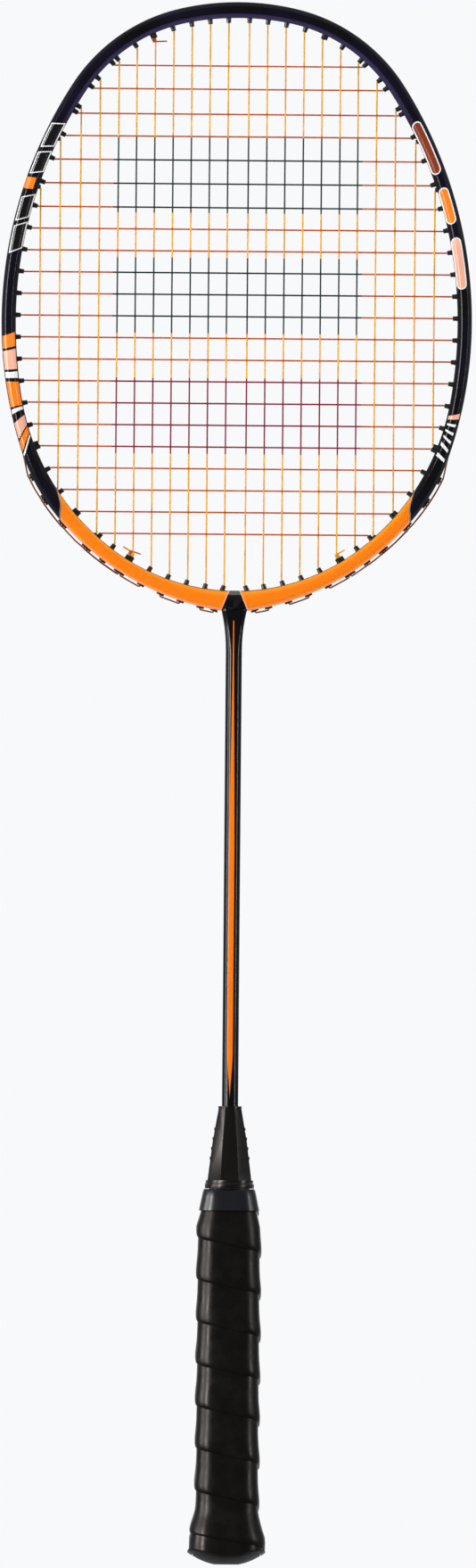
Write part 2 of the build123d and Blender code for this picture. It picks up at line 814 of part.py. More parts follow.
def handle_loft(low, high, grow=0.0):
    """The handle's outside between two heights, grown by an even thickness."""
    stops = [z for z in (butt_height, flare_height, neck_start_height) if low < z < high]
    sections = []
    for z in [low] + stops + [high]:
        width, depth, bevel = handle_section(z)
        sections.append(octagon_face(z, width + 2 * grow, depth + 2 * grow,
                                     bevel + grow * (2 - sqrt(2))))
    return loft(sections, ruled=True)


def butt_envelope():
    """Everything inside the rounded butt end and above it."""
    centre = dome_radius - land_drop
    dome = Pos(0, 0, centre) * Sphere(dome_radius)
    column = Pos(0, 0, centre) * Cylinder(
        dome_radius, handle_top_height, align=(Align.CENTER, Align.CENTER, Align.MIN)
    )
    above = Box(4 * dome_radius, 4 * dome_radius, 2 * handle_top_height,
                align=(Align.CENTER, Align.CENTER, Align.MIN))
    return (dome + column) & above


def handle_plug(clearance):
    """The eight-sided plug on top of the handle, grown by a clearance."""
    width = handle_plug_width + 2 * clearance
    face = octagon_face(handle_top_height, width, width, width * regular_bevel)
    return extrude(face, amount=handle_plug_length + clearance, dir=(0, 0, 1))


def make_handle_core():
    """The wooden handle: flared butt, straight grip, taper and plug."""
    body = handle_loft(cap_thickness, handle_top_height)
    base = (Align.CENTER, Align.CENTER, Align.MIN)
    body += handle_plug(0.0)
    bore = shaft_diameter + 2 * shaft_clearance
    body -= Pos(0, 0, handle_bore_foot) * Cylinder(
        bore / 2, handle_top_height + handle_plug_length - handle_bore_foot, align=base)
    socket = cap_plug_width + 2 * cap_clearance
    return body - Pos(0, 0, cap_thickness) * Box(
        socket, socket, cap_plug_length + cap_clearance, align=base)


def make_butt_cap():
    """The plastic plug that closes the butt, domed with a flat in the middle."""
    width, depth, bevel = handle_section(butt_height)
    plate = extrude(octagon_face(0, width, depth, bevel), amount=cap_thickness, dir=(0, 0, 1))
    plug = Pos(0, 0, cap_thickness) * Box(
        cap_plug_width, cap_plug_width, cap_plug_length,
        align=(Align.CENTER, Align.CENTER, Align.MIN))
    return (plate & butt_envelope()) + plug


# ------------------------------------------------------------------------- grip
def corner_turns():
    """Share of a turn at which each handle corner is reached, by distance round it."""
    corners = octagon_corners(*handle_section(neck_start_height))
    lengths = [hypot(b[0] - a[0], b[1] - a[1]) for a, b in zip(corners, corners[1:] + corners[:1])]
    total = sum(lengths)
    return [sum(lengths[:i]) / total for i in range(len(corners))]


def grip_blank():
    """The wound strip as a solid, longer than the grip and not yet hollow."""
    turns = corner_turns()
    extra = 2
    rounds = ceil((grip_top_height - grip_seam_height) / grip_pitch) + extra
    first = grip_seam_height + rounds * grip_pitch
    count = 8 * (rounds + ceil(grip_seam_height / grip_pitch) + extra)
    columns = []
    for index in range(count + 1):
        turn = index // 8 + turns[index % 8]
        column = []
        for step in range(strip_steps + 1):
            share = step / strip_steps
            z = first - grip_pitch * turn + grip_pitch * share
            grow = lap_thickness + (base_thickness - lap_thickness) * share
            width, depth, bevel = handle_section(z)
            x, y = octagon_corners(width + 2 * grow, depth + 2 * grow,
                                   bevel + grow * (2 - sqrt(2)))[index % 8]
            column.append(Vector(x, y, z))
        columns.append(column)
    faces = []
    for index in range(count):
        a, b = columns[index], columns[index + 1]
        for step in range(strip_steps):
            faces.append([a[step], b[step + 1], b[step]])
            faces.append([a[step], a[step + 1], b[step + 1]])
        if index + 8 < count:
            c, d = columns[index + 8][-1], columns[index + 9][-1]
            faces.append([c, a[0], b[0]])
            faces.append([c, b[0], d])
    crest = Vector(0, 0, first + 3 * grip_pitch)
    for index in range(8):
        faces.append([crest, columns[index + 1][-1], columns[index][-1]])
    rim = [columns[8][-1]] + columns[0]
    faces += [[crest, a, b] for a, b in zip(rim, rim[1:])]
    root = Vector(0, 0, columns[-1][0].Z - 3 * grip_pitch)
    for index in range(count - 8, count):
        faces.append([root, columns[index][0], columns[index + 1][0]])
    rim = [columns[count - 8][0]] + columns[count][::-1]
    faces += [[root, b, a] for a, b in zip(rim, rim[1:])]
    return polyhedron(faces)


def make_grip_wrap(handle):
    """The grip: the wound strip trimmed to length, hollow over the handle."""
    slab = Box(4 * butt_width, 4 * butt_width, grip_top_height,
               align=(Align.CENTER, Align.CENTER, Align.MIN))
    return (grip_blank() & slab & butt_envelope()) - handle


def make_finishing_tape(wrap):
    """The smooth band over the top end of the grip."""
    blank = handle_loft(tape_foot_height, tape_top_height, lap_thickness + tape_thickness)
    return blank - handle_loft(tape_foot_height, tape_top_height, tape_core_clearance) - wrap


# ------------------------------------------------------------------------- cone
def cone_width(above):
    """Width of the cone at a height above its collar."""
    if above < cone_waist_height:
        share = above / cone_waist_height
        return cone_foot_width + (cone_middle_width - cone_foot_width) * share
    share = (above - cone_waist_height) / (cone_length - cone_waist_height)
    return cone_middle_width + (cone_top_width - cone_middle_width) * share


def make_cone_cap():
    """The moulded cone with its round collar, top lip and finger ribs."""
    base = (Align.CENTER, Align.CENTER, Align.MIN)
    radius = collar_diameter / 2
    low, high = handle_top_height, cone_base_height
    step = high - collar_step_height
    profile = Polyline(
        (0, low), (radius, low), (radius, step - collar_step), (radius - collar_step, step),
        (radius - collar_step, high), (0, high), close=True)
    body = revolve(Plane.XZ * make_face(profile), Axis.Z)
    sections = []
    for above in (0, cone_waist_height, cone_length):
        width = cone_width(above)
        sections.append(octagon_face(high + above, width, width, width * regular_bevel))
    body += loft(sections, ruled=True)
    body += Pos(0, 0, cone_top_height - cone_lip_height) * Cylinder(
        cone_lip_diameter / 2, cone_lip_height, align=base)
    for index in range(rib_count):
        above = rib_start_height + index * rib_pitch
        for side in (1, -1):
            centre = Pos(side * cone_width(above) / 2, 0, high + above)
            body += centre * Box(2 * rib_proud, rib_width, rib_height)
    body -= handle_plug(plug_clearance)
    bore = shaft_diameter + 2 * cone_shaft_clearance
    return body - Pos(0, 0, low) * Cylinder(bore / 2, cone_top_height, align=base)


# --------------------------------------------------------------------- grommets
def make_grommet(port):
    """One grommet: barrel through the hoop and string bore, and at the foot a flange."""
    bore = string_flat + 2 * bore_clearance
    middle = port.spread / 2
    through = port.strand(middle)
    end = through.reach + (sleeve_rise - groove_depth if through.sunk else flange_thickness / 2)
    wall = barrel_reach + mouth_gap + hole_clearance
    if port.gap:
        starts = [(0.0, mouth_gap), (port.gap, port.depth + mouth_gap)]
        body = slot_prism(port.plane(middle, wall), end - wall, barrel_size, 4, port.spread)
        for offset_, start in starts:
            if start < wall:
                body += slot_prism(port.plane(offset_, start), end - start, barrel_size, 4)
        bores = [slot_prism(port.plane(o, start - 1), frame_depth + crown_wall, bore, 4)
                 for o, start in starts]
    else:
        body = slot_prism(port.plane(middle, mouth_gap), end - mouth_gap, barrel_size,
                          barrel_sides, port.spread)
        bores = [slot_prism(port.plane(middle, 0), frame_depth + crown_wall, bore, 4, port.spread)]
    if not through.sunk:
        body += extrude(port.seat() * Rectangle(flange_size(port), flange_width),
                        amount=flange_thickness)
    return body - bores


def grommet_groups():
    """Grommets by where they sit: each hole belongs to one group."""
    groups = {name: [] for name in ("crown_grommets", "foot_grommets", "left_grommets",
                                    "right_grommets", "twin_grommets", "tie_off_grommets")}
    tops = {id(p) for p in main_tops}
    feet = {id(p) for p in main_feet}
    for port in all_ports:
        if port.gap:
            name = "twin_grommets"
        elif port.ties:
            name = "tie_off_grommets"
        elif id(port) in tops:
            name = "crown_grommets"
        elif id(port) in feet:
            name = "foot_grommets"
        else:
            name = "right_grommets" if port.side > 0 else "left_grommets"
        groups[name].append(make_grommet(port))
    return groups


# ------------------------------------------------------------------------ knots
def make_knot(port, index, stack):
    """A knot round the main at a tie-off, just inside the barrel, with its tail."""
    start, after = main_points(index)[:2] if not port.upper else main_points(index)[:1:-1]
    up = (after - start).normalized()
    start += up * (mouth_gap + stack * (knot_length + knot_clearance))
    plane = Plane(origin=start, x_dir=(1, 0, 0), z_dir=up)
    bead = slot_prism(plane, knot_length, knot_size, 8)
    lean = radians(tail_angle)
    away = Vector(-port.side, 0, 0) * sin(lean) + up * cos(lean)
    tail_plane = Plane(origin=start + up * (knot_length / 2), x_dir=(0, 1, 0), z_dir=away)
    tail = slot_prism(tail_plane, tail_length, string_flat, 4)
    hole = slot_prism(plane.offset(-1), knot_length + 6, string_flat + 2 * knot_clearance, 4)
    return bead + tail - hole


# ------------------------------------------------------------------------ build
ring = hoop_ring()
holes = frame_holes()
handle = handle_loft(0, handle_top_height)
wrap = make_grip_wrap(handle)
left_tie, right_tie = foot_tie_main, main_count - 1 - foot_tie_main

pieces = {
    "head_frame": make_head_frame(ring, holes),
    "throat_joint": make_throat_joint(ring, holes),
    "shaft": make_shaft(),
    "cone_cap": make_cone_cap(),
    "handle_core": make_handle_core(),
    "butt_cap": make_butt_cap(),
    "grip_wrap": wrap,
    "finishing_tape": make_finishing_tape(wrap),
    "main_string": mitred_string(main_string_runs(), string_flat),
    "cross_string": mitred_string(cross_string_runs(), string_flat),
    "main_string_knots": [
        make_knot(main_feet[left_tie], left_tie, 0),
        make_knot(main_feet[right_tie], right_tie, 0),
    ],
    "cross_string_knots": [
        make_knot(main_tops[top_tie_main], top_tie_main, 0),
        make_knot(main_feet[left_tie], left_tie, 1),
    ],
}
pieces.update(grommet_groups())

for name, shape in pieces.items():
    solid = Compound(children=shape) if isinstance(shape, list) else shape
    export_step(solid, f"parts/{name}.step")
    print(name, round(solid.volume, 1))
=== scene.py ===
import logging
import math
from dataclasses import dataclass, field
from enum import Enum
from typing import Callable, Iterable, Sequence

import bmesh
import bpy
import numpy as np
from mathutils import Matrix, Vector


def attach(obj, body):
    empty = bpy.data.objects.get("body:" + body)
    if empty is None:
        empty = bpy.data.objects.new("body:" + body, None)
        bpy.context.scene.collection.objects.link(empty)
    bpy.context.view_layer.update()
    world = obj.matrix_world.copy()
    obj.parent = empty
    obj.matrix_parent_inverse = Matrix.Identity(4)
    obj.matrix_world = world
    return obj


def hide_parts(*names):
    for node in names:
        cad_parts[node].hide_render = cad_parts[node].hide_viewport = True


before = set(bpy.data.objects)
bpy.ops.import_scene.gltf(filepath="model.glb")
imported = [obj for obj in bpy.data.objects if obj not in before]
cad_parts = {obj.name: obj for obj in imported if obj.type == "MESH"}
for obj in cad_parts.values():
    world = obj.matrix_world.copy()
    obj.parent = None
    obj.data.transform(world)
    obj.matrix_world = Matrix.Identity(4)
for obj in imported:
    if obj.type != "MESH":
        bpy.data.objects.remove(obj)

LOG = logging.getLogger("racket")
BODY = "root"
MM = 0.001
WELD = 0.001 * MM                     # points closer than this are one
FLAT_ANGLE = 1.5                      # faces that meet by less, in degrees, become one
TURN = 2 * math.pi
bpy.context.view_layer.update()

Colour = tuple[float, float, float]
Point = tuple[float, float, float]


class Slot(Enum):
    """Names of material slots, one for each kind of piece."""

    HOOP = "hoop"
    THROAT = "throat"
    CONE = "cone"
    CAP = "butt_cap"
    GRIP = "grip"
    TAPE = "tape"
    GROMMETS = "grommets"
    MAIN_STRING = "main_string"
    CROSS_STRING = "cross_string"


class Side(Enum):
    """Which outline of the hoop a lengthwise line is measured from."""

    OUTER = "outer"
    INNER = "inner"


# ---------------------------------------------------------------- node helpers
class Sheet:
    """A node tree with short calls that add nodes and join them."""

    def __init__(self, tree: bpy.types.NodeTree) -> None:
        """Keeps the tree that the calls work on."""
        self.tree = tree

    def add(
        self, kind: str, feeds: dict[object, object] | None = None, **values: object
    ) -> bpy.types.Node:
        """Adds a node, sets its properties, then feeds its inputs.

        Args:
            kind: The node's type name.
            feeds: Output sockets or plain values for its inputs, by name or place.
            values: Properties of the node to set.

        Returns:
            The new node.
        """
        node = self.tree.nodes.new(kind)
        for name, value in values.items():
            setattr(node, name, value)
        self.feed_all(node.inputs, feeds or {})
        return node

    def feed_all(self, inputs: object, feeds: dict[object, object]) -> None:
        """Feeds the inputs of a node, by name or place."""
        for name, value in feeds.items():
            self.feed(inputs[name], value)

    def feed(self, socket: bpy.types.NodeSocket, value: object) -> None:
        """Links a socket, or sets its plain value.

        Args:
            socket: The input socket.
            value: An output socket to link from, or a number, colour or vector.
        """
        if isinstance(value, bpy.types.NodeSocket):
            self.tree.links.new(value, socket)
        else:
            wide = socket.type == "RGBA" and len(value) == 3
            socket.default_value = (*value, 1.0) if wide else value

    def math(self, operation: str, *values: object) -> bpy.types.NodeSocket:
        """Returns the result of a Math node on sockets or numbers, in order."""
        feeds = dict(enumerate(values))
        return self.add("ShaderNodeMath", feeds, operation=operation).outputs[0]

    def times(self, first: object, second: object) -> bpy.types.NodeSocket:
        """Returns the product of two sockets or numbers."""
        return self.math("MULTIPLY", first, second)

    def mix(self, mask: object, low: object, high: object) -> bpy.types.NodeSocket:
        """Returns the mix of two colours: low where the mask is 0, high where it is 1."""
        feeds = {0: mask, 6: low, 7: high}
        return self.add("ShaderNodeMix", feeds, data_type="RGBA").outputs[2]

    def remap(self, value: object, *limits: object) -> bpy.types.NodeSocket:
        """Returns a value mapped smoothly and clamped: from low, from high, low, high."""
        feeds = dict(enumerate((value, *limits)))
        return self.add("ShaderNodeMapRange", feeds, interpolation_type="SMOOTHSTEP").outputs[0]

    def noise(self, place: object, scale: object, **feeds: object) -> bpy.types.NodeSocket:
        """Returns a noise texture's value, with its other inputs by name."""
        feeds = {"Vector": place, "Scale": scale, **feeds}
        return self.add("ShaderNodeTexNoise", feeds).outputs[0]

    def attribute(self, name: str) -> bpy.types.NodeSocket:
        """Reads a number that the mesh carries, by name."""
        return self.add("ShaderNodeAttribute", attribute_name=name).outputs["Fac"]

    def place(self) -> tuple[bpy.types.NodeSocket, list[bpy.types.NodeSocket]]:
        """Returns the place on the object: the whole vector, and its X, Y and Z."""
        coords = self.add("ShaderNodeTexCoord").outputs["Object"]
        return coords, list(self.add("ShaderNodeSeparateXYZ", {0: coords}).outputs)

    def group(self, tree: bpy.types.NodeTree, **feeds: object) -> dict[str, bpy.types.NodeSocket]:
        """Places a shared group.

        Args:
            tree: The group's tree.
            feeds: Output sockets or plain values for its inputs, by name.

        Returns:
            Its outputs by name.
        """
        node = self.add("ShaderNodeGroup", node_tree=tree)
        self.feed_all(node.inputs, feeds)
        return {socket.name: socket for socket in node.outputs}

    def band(self, value: object, low: float, high: float, soft: float) -> bpy.types.NodeSocket:
        """Returns the soft-edged mask of where a value lies between two limits."""
        return self.group(EFFECTS.band, Value=value, Low=low, High=high, Soft=soft)["Mask"]

    def scuff(self, place: object, scale: float) -> bpy.types.NodeSocket:
        """Returns the mask of patches that handling has changed."""
        return self.group(EFFECTS.scuff, Place=place, Scale=scale)["Mask"]


class NamedSheet(Sheet):
    """A new node tree with named inputs and outputs."""

    plain = {int: "Int", float: "Float"}

    def __init__(self, kind: str, name: str, inputs: dict[str, object], *outputs: str) -> None:
        """Starts the tree.

        Args:
            kind: "Shader" or "Geometry".
            name: The tree's name.
            inputs: Default value of each input, or its type where it has none.
            outputs: Name of each output, a number or, in a geometry tree, geometry.
        """
        super().__init__(bpy.data.node_groups.new(name, f"{kind}NodeTree"))
        for label, default in inputs.items():
            sort = self.plain.get(type(default), default)
            socket = self.socket(label, "INPUT", sort)
            if sort != default:
                socket.default_value = default
        for label in outputs:
            self.socket(label, "OUTPUT", "Geometry" if kind == "Geometry" else "Float")
        self.given = self.add("NodeGroupInput").outputs
        self.end = self.add("NodeGroupOutput").inputs

    def socket(self, name: str, way: str, sort: str) -> bpy.types.NodeTreeInterfaceSocket:
        """Adds an input or output to the tree's own list and returns it."""
        return self.tree.interface.new_socket(
            name=name, in_out=way, socket_type=f"NodeSocket{sort}")

    def give(self, **results: object) -> bpy.types.NodeTree:
        """Feeds the tree's outputs by name and returns the tree."""
        self.feed_all(self.end, results)
        return self.tree


class SharedEffects:
    """Shader node groups that more than one material places."""

    def __init__(self) -> None:
        """Builds each group once."""
        self.band = self.make_band()
        self.lacquer = self.make_lacquer()
        self.hide = self.make_hide()
        self.scuff = self.make_scuff()

    def make_band(self) -> bpy.types.NodeTree:
        """Makes a soft-edged mask, 1 where a value lies between two limits.

        Returns:
            The group's tree.
        """
        inputs = {"Value": 0.0, "Low": 0.0, "High": 1.0, "Soft": 0.1}
        sheet = NamedSheet("Shader", "soft_band", inputs, "Mask")
        value, low, high, soft = (sheet.given[name] for name in inputs)
        rise = sheet.remap(value, sheet.math("SUBTRACT", low, soft), low, 0.0, 1.0)
        fall = sheet.remap(value, high, sheet.math("ADD", high, soft), 1.0, 0.0)
        return sheet.give(Mask=sheet.times(rise, fall))

    def make_lacquer(self) -> bpy.types.NodeTree:
        """Makes the faint waves and dust nibs of a sprayed lacquer.

        Returns:
            The group's tree.
        """
        inputs = {"Place": "Vector", "Roughness": 0.2}
        sheet = NamedSheet("Shader", "sprayed_lacquer", inputs, "Height", "Roughness", "Tone")
        place = sheet.given["Place"]
        waves = sheet.noise(place, 420.0, Detail=2.0)
        nibs = sheet.remap(sheet.noise(place, 2600.0), 0.66, 0.78, 0.0, 0.5)
        cloud = sheet.noise(place, 38.0)
        spread = sheet.remap(cloud, 0.35, 0.7, 0.85, 1.25)
        return sheet.give(
            Height=sheet.math("ADD", sheet.times(waves, 0.35), nibs),
            Roughness=sheet.times(sheet.given["Roughness"], spread),
            Tone=sheet.remap(cloud, 0.3, 0.7, 0.0, 1.0))

    def make_hide(self) -> bpy.types.NodeTree:
        """Makes the pebbled grain of soft synthetic leather, with fine pores.

        Returns:
            The group's tree.
        """
        inputs = {"Place": "Vector", "Scale": 900.0}
        sheet = NamedSheet("Shader", "leather_grain", inputs, "Height", "Tone")
        place, scale = sheet.given["Place"], sheet.given["Scale"]
        cells = sheet.add("ShaderNodeTexVoronoi", {
            "Vector": place, "Scale": scale, "Smoothness": 0.6}, feature="SMOOTH_F1")
        creases = sheet.noise(place, sheet.times(scale, 0.22), Detail=5.0)
        pebble = sheet.times(cells.outputs["Distance"], 0.8)
        return sheet.give(
            Height=sheet.math("ADD", pebble, sheet.times(creases, 0.7)),
            Tone=sheet.remap(creases, 0.35, 0.7, 0.0, 1.0))

    def make_scuff(self) -> bpy.types.NodeTree:
        """Makes patches where handling has polished or dulled a surface.

        Returns:
            The group's tree.
        """
        inputs = {"Place": "Vector", "Scale": 60.0}
        sheet = NamedSheet("Shader", "handling_scuff", inputs, "Mask")
        place, scale = sheet.given["Place"], sheet.given["Scale"]
        patches = sheet.noise(place, scale, Detail=6.0, Roughness=0.65)
        return sheet.give(Mask=sheet.remap(patches, 0.45, 0.72, 0.0, 1.0))


EFFECTS = SharedEffects()


# -------------------------------------------------------------------- finishes
@dataclass(frozen=True)
class Finish:
    """A named surface finish, made once as a material."""

    name: str
    colour: Colour
    roughness: float = 0.3
    specular: float = 0.5
    bump: float = 0.2
    bump_depth: float = 0.02 * MM
    gleam: Colour = (1.0, 1.0, 1.0)

    def material(self) -> bpy.types.Material:
        """Builds the finish's material the first time that it is asked for.

        Returns:
            The material.
        """
        found = bpy.data.materials.get(self.name)
        if found:
            return found
        made = bpy.data.materials.new(self.name)
        made.use_nodes = True
        sheet = Sheet(made.node_tree)
        shader = made.node_tree.nodes["Principled BSDF"]
        plain = {"Specular IOR Level": self.specular, "Specular Tint": self.gleam,
                 "Roughness": self.roughness, "Base Color": self.colour}
        colour, roughness, height = self.paint(sheet)
        bump = sheet.add("ShaderNodeBump", {
            "Strength": self.bump, "Distance": self.bump_depth, "Height": height})
        painted = {"Base Color": colour, "Roughness": roughness, "Normal": bump.outputs[0]}
        for feeds in (plain, painted):
            sheet.feed_all(shader.inputs, feeds)
        made.diffuse_color = (*self.colour, 1.0)
        return made

    def shade(self, share: float, lift: float = 0.0) -> Colour:
        """Returns the finish's colour times a share, plus a lift, at most white."""
        return tuple(min(1.0, c * share + lift) for c in self.colour)

    def paint(self, sheet: Sheet) -> tuple[object, object, object]:
        """Adds the finish's own nodes.

        Args:
            sheet: The material's tree.

        Returns:
            The colour, the roughness and the height of the relief.
        """
        coat = sheet.group(EFFECTS.lacquer, Place=sheet.place()[0], Roughness=self.roughness)
        colour = sheet.mix(coat["Tone"], self.colour, self.shade(1.2, 0.0008))
        return colour, coat["Roughness"], coat["Height"]


@dataclass(frozen=True)
class HoopPaint(Finish):
    """Black lacquer with an orange foot that starts in a point on each side."""

    orange: Colour = (0.94, 0.215, 0.006)
    warm: Colour = (1.0, 0.36, 0.02)  # the orange beside the opening
    blush: Colour = (0.93, 0.42, 0.25)  # the orange on its outer bevel and cut ends
    edge: Colour = (0.03, 0.009, 0.004)  # the line along the opening
    pinstripe: Colour = (0.5, 0.5, 0.52)  # the line where black meets orange
    sheen: Colour = (0.030, 0.022, 0.085)  # painted violet sheen on the black of its inner bevel at the crown
    tip: float = 98.6 * MM            # from the foot to the orange's point
    full: float = 85.0 * MM           # and to where it fills the hoop's width
    bend: float = 0.62                # how the orange's end curves between them
    blur: float = 0.15 * MM
    stripe: float = 0.75 * MM
    crown_height: float = 648.0 * MM
    crown_fade: float = 60.0 * MM

    def paint(self, sheet: Sheet) -> tuple[object, object, object]:
        """Adds the two colours, the lines between them, a painted violet sheen at the crown and
        the lacquer's relief.

        Args:
            sheet: The material's tree.

        Returns:
            The colour, the roughness and the height of the relief.
        """
        coords, axes = sheet.place()
        coat = sheet.group(EFFECTS.lacquer, Place=coords, Roughness=self.roughness)
        along, across = sheet.attribute("along"), sheet.attribute("across")
        curve = sheet.math("POWER", across, self.bend)
        end = sheet.math("MULTIPLY_ADD", curve, self.full - self.tip, self.tip)
        below = sheet.math("SUBTRACT", end, along)
        foot = sheet.remap(below, -self.blur, self.blur, 0.0, 1.0)
        masks = (
            (sheet.times(sheet.remap(across, 0.34, 0.05, 0.0, 1.0), 0.7), self.warm),
            (sheet.times(sheet.band(across, 0.89, 0.97, 0.05), 0.4), self.blush),
            (sheet.remap(across, 0.06, 0.03, 0.0, 0.9), self.edge),
            (sheet.remap(along, self.stripe, 0.6 * self.stripe, 0.0, 0.8), self.blush),
        )
        orange: object = self.orange
        for mask, colour in masks:
            orange = sheet.mix(mask, orange, colour)
        # painted sheen: the black of the inner bevel near the crown turns violet, as a reflection
        # would
        crown = sheet.remap(
            axes[2], self.crown_height - self.crown_fade, self.crown_height, 0.0, 1.0)
        painted_sheen = sheet.times(sheet.times(crown, sheet.band(across, 0.06, 0.26, 0.05)), 0.8)
        tone = sheet.math("MULTIPLY_ADD", coat["Tone"], 0.12, painted_sheen)
        black = sheet.mix(tone, self.colour, self.sheen)
        line = sheet.band(below, -self.stripe, -self.blur, 0.08 * MM)
        black = sheet.mix(sheet.times(line, 0.35), black, self.pinstripe)
        return sheet.mix(foot, black, orange), coat["Roughness"], coat["Height"]


@dataclass(frozen=True)
class ShaftPaint(Finish):
    """Black lacquer with a long orange needle down the front and the back."""

    orange: Colour = (0.94, 0.195, 0.004)
    top: float = 407.0 * MM
    widest: float = 300.0 * MM
    foot: float = 198.8 * MM
    foot_taper: float = 23.0 * MM
    top_taper: float = 1.5 * MM
    half_width: float = 1.2 * MM
    tip_half_width: float = 0.26 * MM
    offset: float = -0.22 * MM
    blur: float = 0.1 * MM

    def paint(self, sheet: Sheet) -> tuple[object, object, object]:
        """Adds the needle and the lacquer's relief.

        Args:
            sheet: The material's tree.

        Returns:
            The colour, the roughness and the height of the relief.
        """
        coords, axes = sheet.place()
        coat = sheet.group(EFFECTS.lacquer, Place=coords, Roughness=self.roughness)
        upper = sheet.remap(axes[2], self.top, self.widest, self.tip_half_width, self.half_width)
        lower = sheet.remap(axes[2], self.foot, self.foot + self.foot_taper, 0.0, 1.0)
        capped = sheet.remap(axes[2], self.top, self.top + self.top_taper, 1.0, 0.0)
        width = sheet.times(sheet.times(upper, lower), capped)
        away = sheet.math("ABSOLUTE", sheet.math("SUBTRACT", axes[0], self.offset))
        needle = sheet.remap(sheet.math("SUBTRACT", width, away), 0.0, self.blur, 0.0, 1.0)
        black = sheet.mix(coat["Tone"], self.colour, self.shade(1.6))
        return sheet.mix(needle, black, self.orange), coat["Roughness"], coat["Height"]


@dataclass(frozen=True)
class GripHide(Finish):
    """Soft black synthetic leather with a pebbled grain and polished patches."""

    worn: Colour = (0.008, 0.0062, 0.0055)
    seam: Colour = (0.004, 0.004, 0.004)
    grain: float = 900.0
    patches: float = 70.0

    def paint(self, sheet: Sheet) -> tuple[object, object, object]:
        """Adds the grain, the tone of worn patches and the lap's dark seam.

        Args:
            sheet: The material's tree.

        Returns:
            The colour, the roughness and the height of the relief.
        """
        coords, _ = sheet.place()
        hide = sheet.group(EFFECTS.hide, Place=coords, Scale=self.grain)
        scuff = sheet.scuff(coords, self.patches)
        seam = sheet.remap(sheet.attribute("lap"), 0.10, 0.0, 0.0, 0.85)
        tone = sheet.math("MULTIPLY_ADD", hide["Tone"], 0.25, sheet.times(scuff, 0.5))
        skin = sheet.mix(tone, self.colour, self.worn)
        gloss = sheet.math("MULTIPLY_ADD", scuff, -0.12, self.roughness)
        rough = sheet.math("MULTIPLY_ADD", hide["Tone"], 0.08, gloss)
        return sheet.mix(seam, skin, self.seam), rough, hide["Height"]


@dataclass(frozen=True)
class Moulded(Finish):
    """Satin moulded plastic with a spark-eroded grain."""

    grain: float = 1500.0
    patches: float = 120.0

    def paint(self, sheet: Sheet) -> tuple[object, object, object]:
        """Adds the grain and slightly polished patches.

        Args:
            sheet: The material's tree.

        Returns:
            The colour, the roughness and the height of the relief.
        """
        coords, _ = sheet.place()
        hide = sheet.group(EFFECTS.hide, Place=coords, Scale=self.grain)
        scuff = sheet.scuff(coords, self.patches)
        colour = sheet.mix(sheet.times(scuff, 0.5), self.colour, self.shade(1.6, 0.001))
        rough = sheet.math("MULTIPLY_ADD", scuff, -0.08, self.roughness)
        return colour, rough, hide["Height"]


@dataclass(frozen=True)
class Wood(Finish):
    """Bare pale hardwood with its grain along the handle."""

    stretch: Point = (1.0, 1.0, 0.08)
    grain: float = 420.0

    def paint(self, sheet: Sheet) -> tuple[object, object, object]:
        """Adds long growth rings and pores.

        Args:
            sheet: The material's tree.

        Returns:
            The colour, the roughness and the height of the relief.
        """
        coords, _ = sheet.place()
        grain = sheet.add("ShaderNodeMapping", {"Vector": coords, "Scale": self.stretch})
        rings = sheet.noise(grain.outputs[0], self.grain, Detail=6.0)
        colour = sheet.mix(sheet.remap(rings, 0.4, 0.65, 0.0, 1.0), self.colour, self.shade(0.62))
        return colour, sheet.remap(rings, 0.3, 0.7, 0.5, 0.7), rings


@dataclass(frozen=True)
class StringNylon(Finish):
    """Twisted nylon string, with plain inked bands across the bed."""

    # painted shade: the colour of the string's loops outside the bed, where they run round the
    # hoop
    loop_shade: Colour = (0.13, 0.026, 0.012)
    dark_ink: Colour = (0.004, 0.018, 0.013)
    red_ink: Colour = (0.24, 0.003, 0.028)
    dark_bands: tuple[float, ...] = (600.0 * MM, 548.0 * MM)  # heights of their middles
    red_band: float = 496.0 * MM
    ink_half_height: float = 16.0 * MM
    ink_half_width: float = 53.5 * MM
    ink_blur: float = 0.7 * MM
    twist_length: float = 1.6 * MM
    plies: float = 3.0
    mottle: float = 160.0

    def paint(self, sheet: Sheet) -> tuple[object, object, object]:
        """Adds the twist, the bands of ink, painted shade on the loops outside the bed and a
        change of tone.

        Args:
            sheet: The material's tree.

        Returns:
            The colour, the roughness and the height of the relief.
        """
        coords, axes = sheet.place()
        around = sheet.times(sheet.attribute("string_around"), self.plies)
        turns = sheet.math(
            "MULTIPLY_ADD", sheet.attribute("string_along"), 1 / self.twist_length, around)
        ply = sheet.math("SINE", sheet.times(turns, TURN))
        spots = sheet.noise(coords, self.mottle)
        colour = sheet.mix(sheet.remap(spots, 0.4, 0.65, 0.0, 0.8), self.colour, self.shade(0.72))
        wide = sheet.band(axes[0], -self.ink_half_width, self.ink_half_width, self.ink_blur)
        inks = [(middle, self.dark_ink) for middle in self.dark_bands]
        for middle, ink in (*inks, (self.red_band, self.red_ink)):
            low, high = middle - self.ink_half_height, middle + self.ink_half_height
            tall = sheet.band(axes[2], low, high, self.ink_blur)
            colour = sheet.mix(sheet.times(tall, wide), colour, ink)
        # painted shade darkens the string wherever it runs outside the bed, on the loops round the
        # hoop
        colour = sheet.mix(sheet.times(sheet.attribute("outside"), 0.85), colour, self.loop_shade)
        return colour, sheet.remap(spots, 0.3, 0.7, 0.25, 0.4), ply


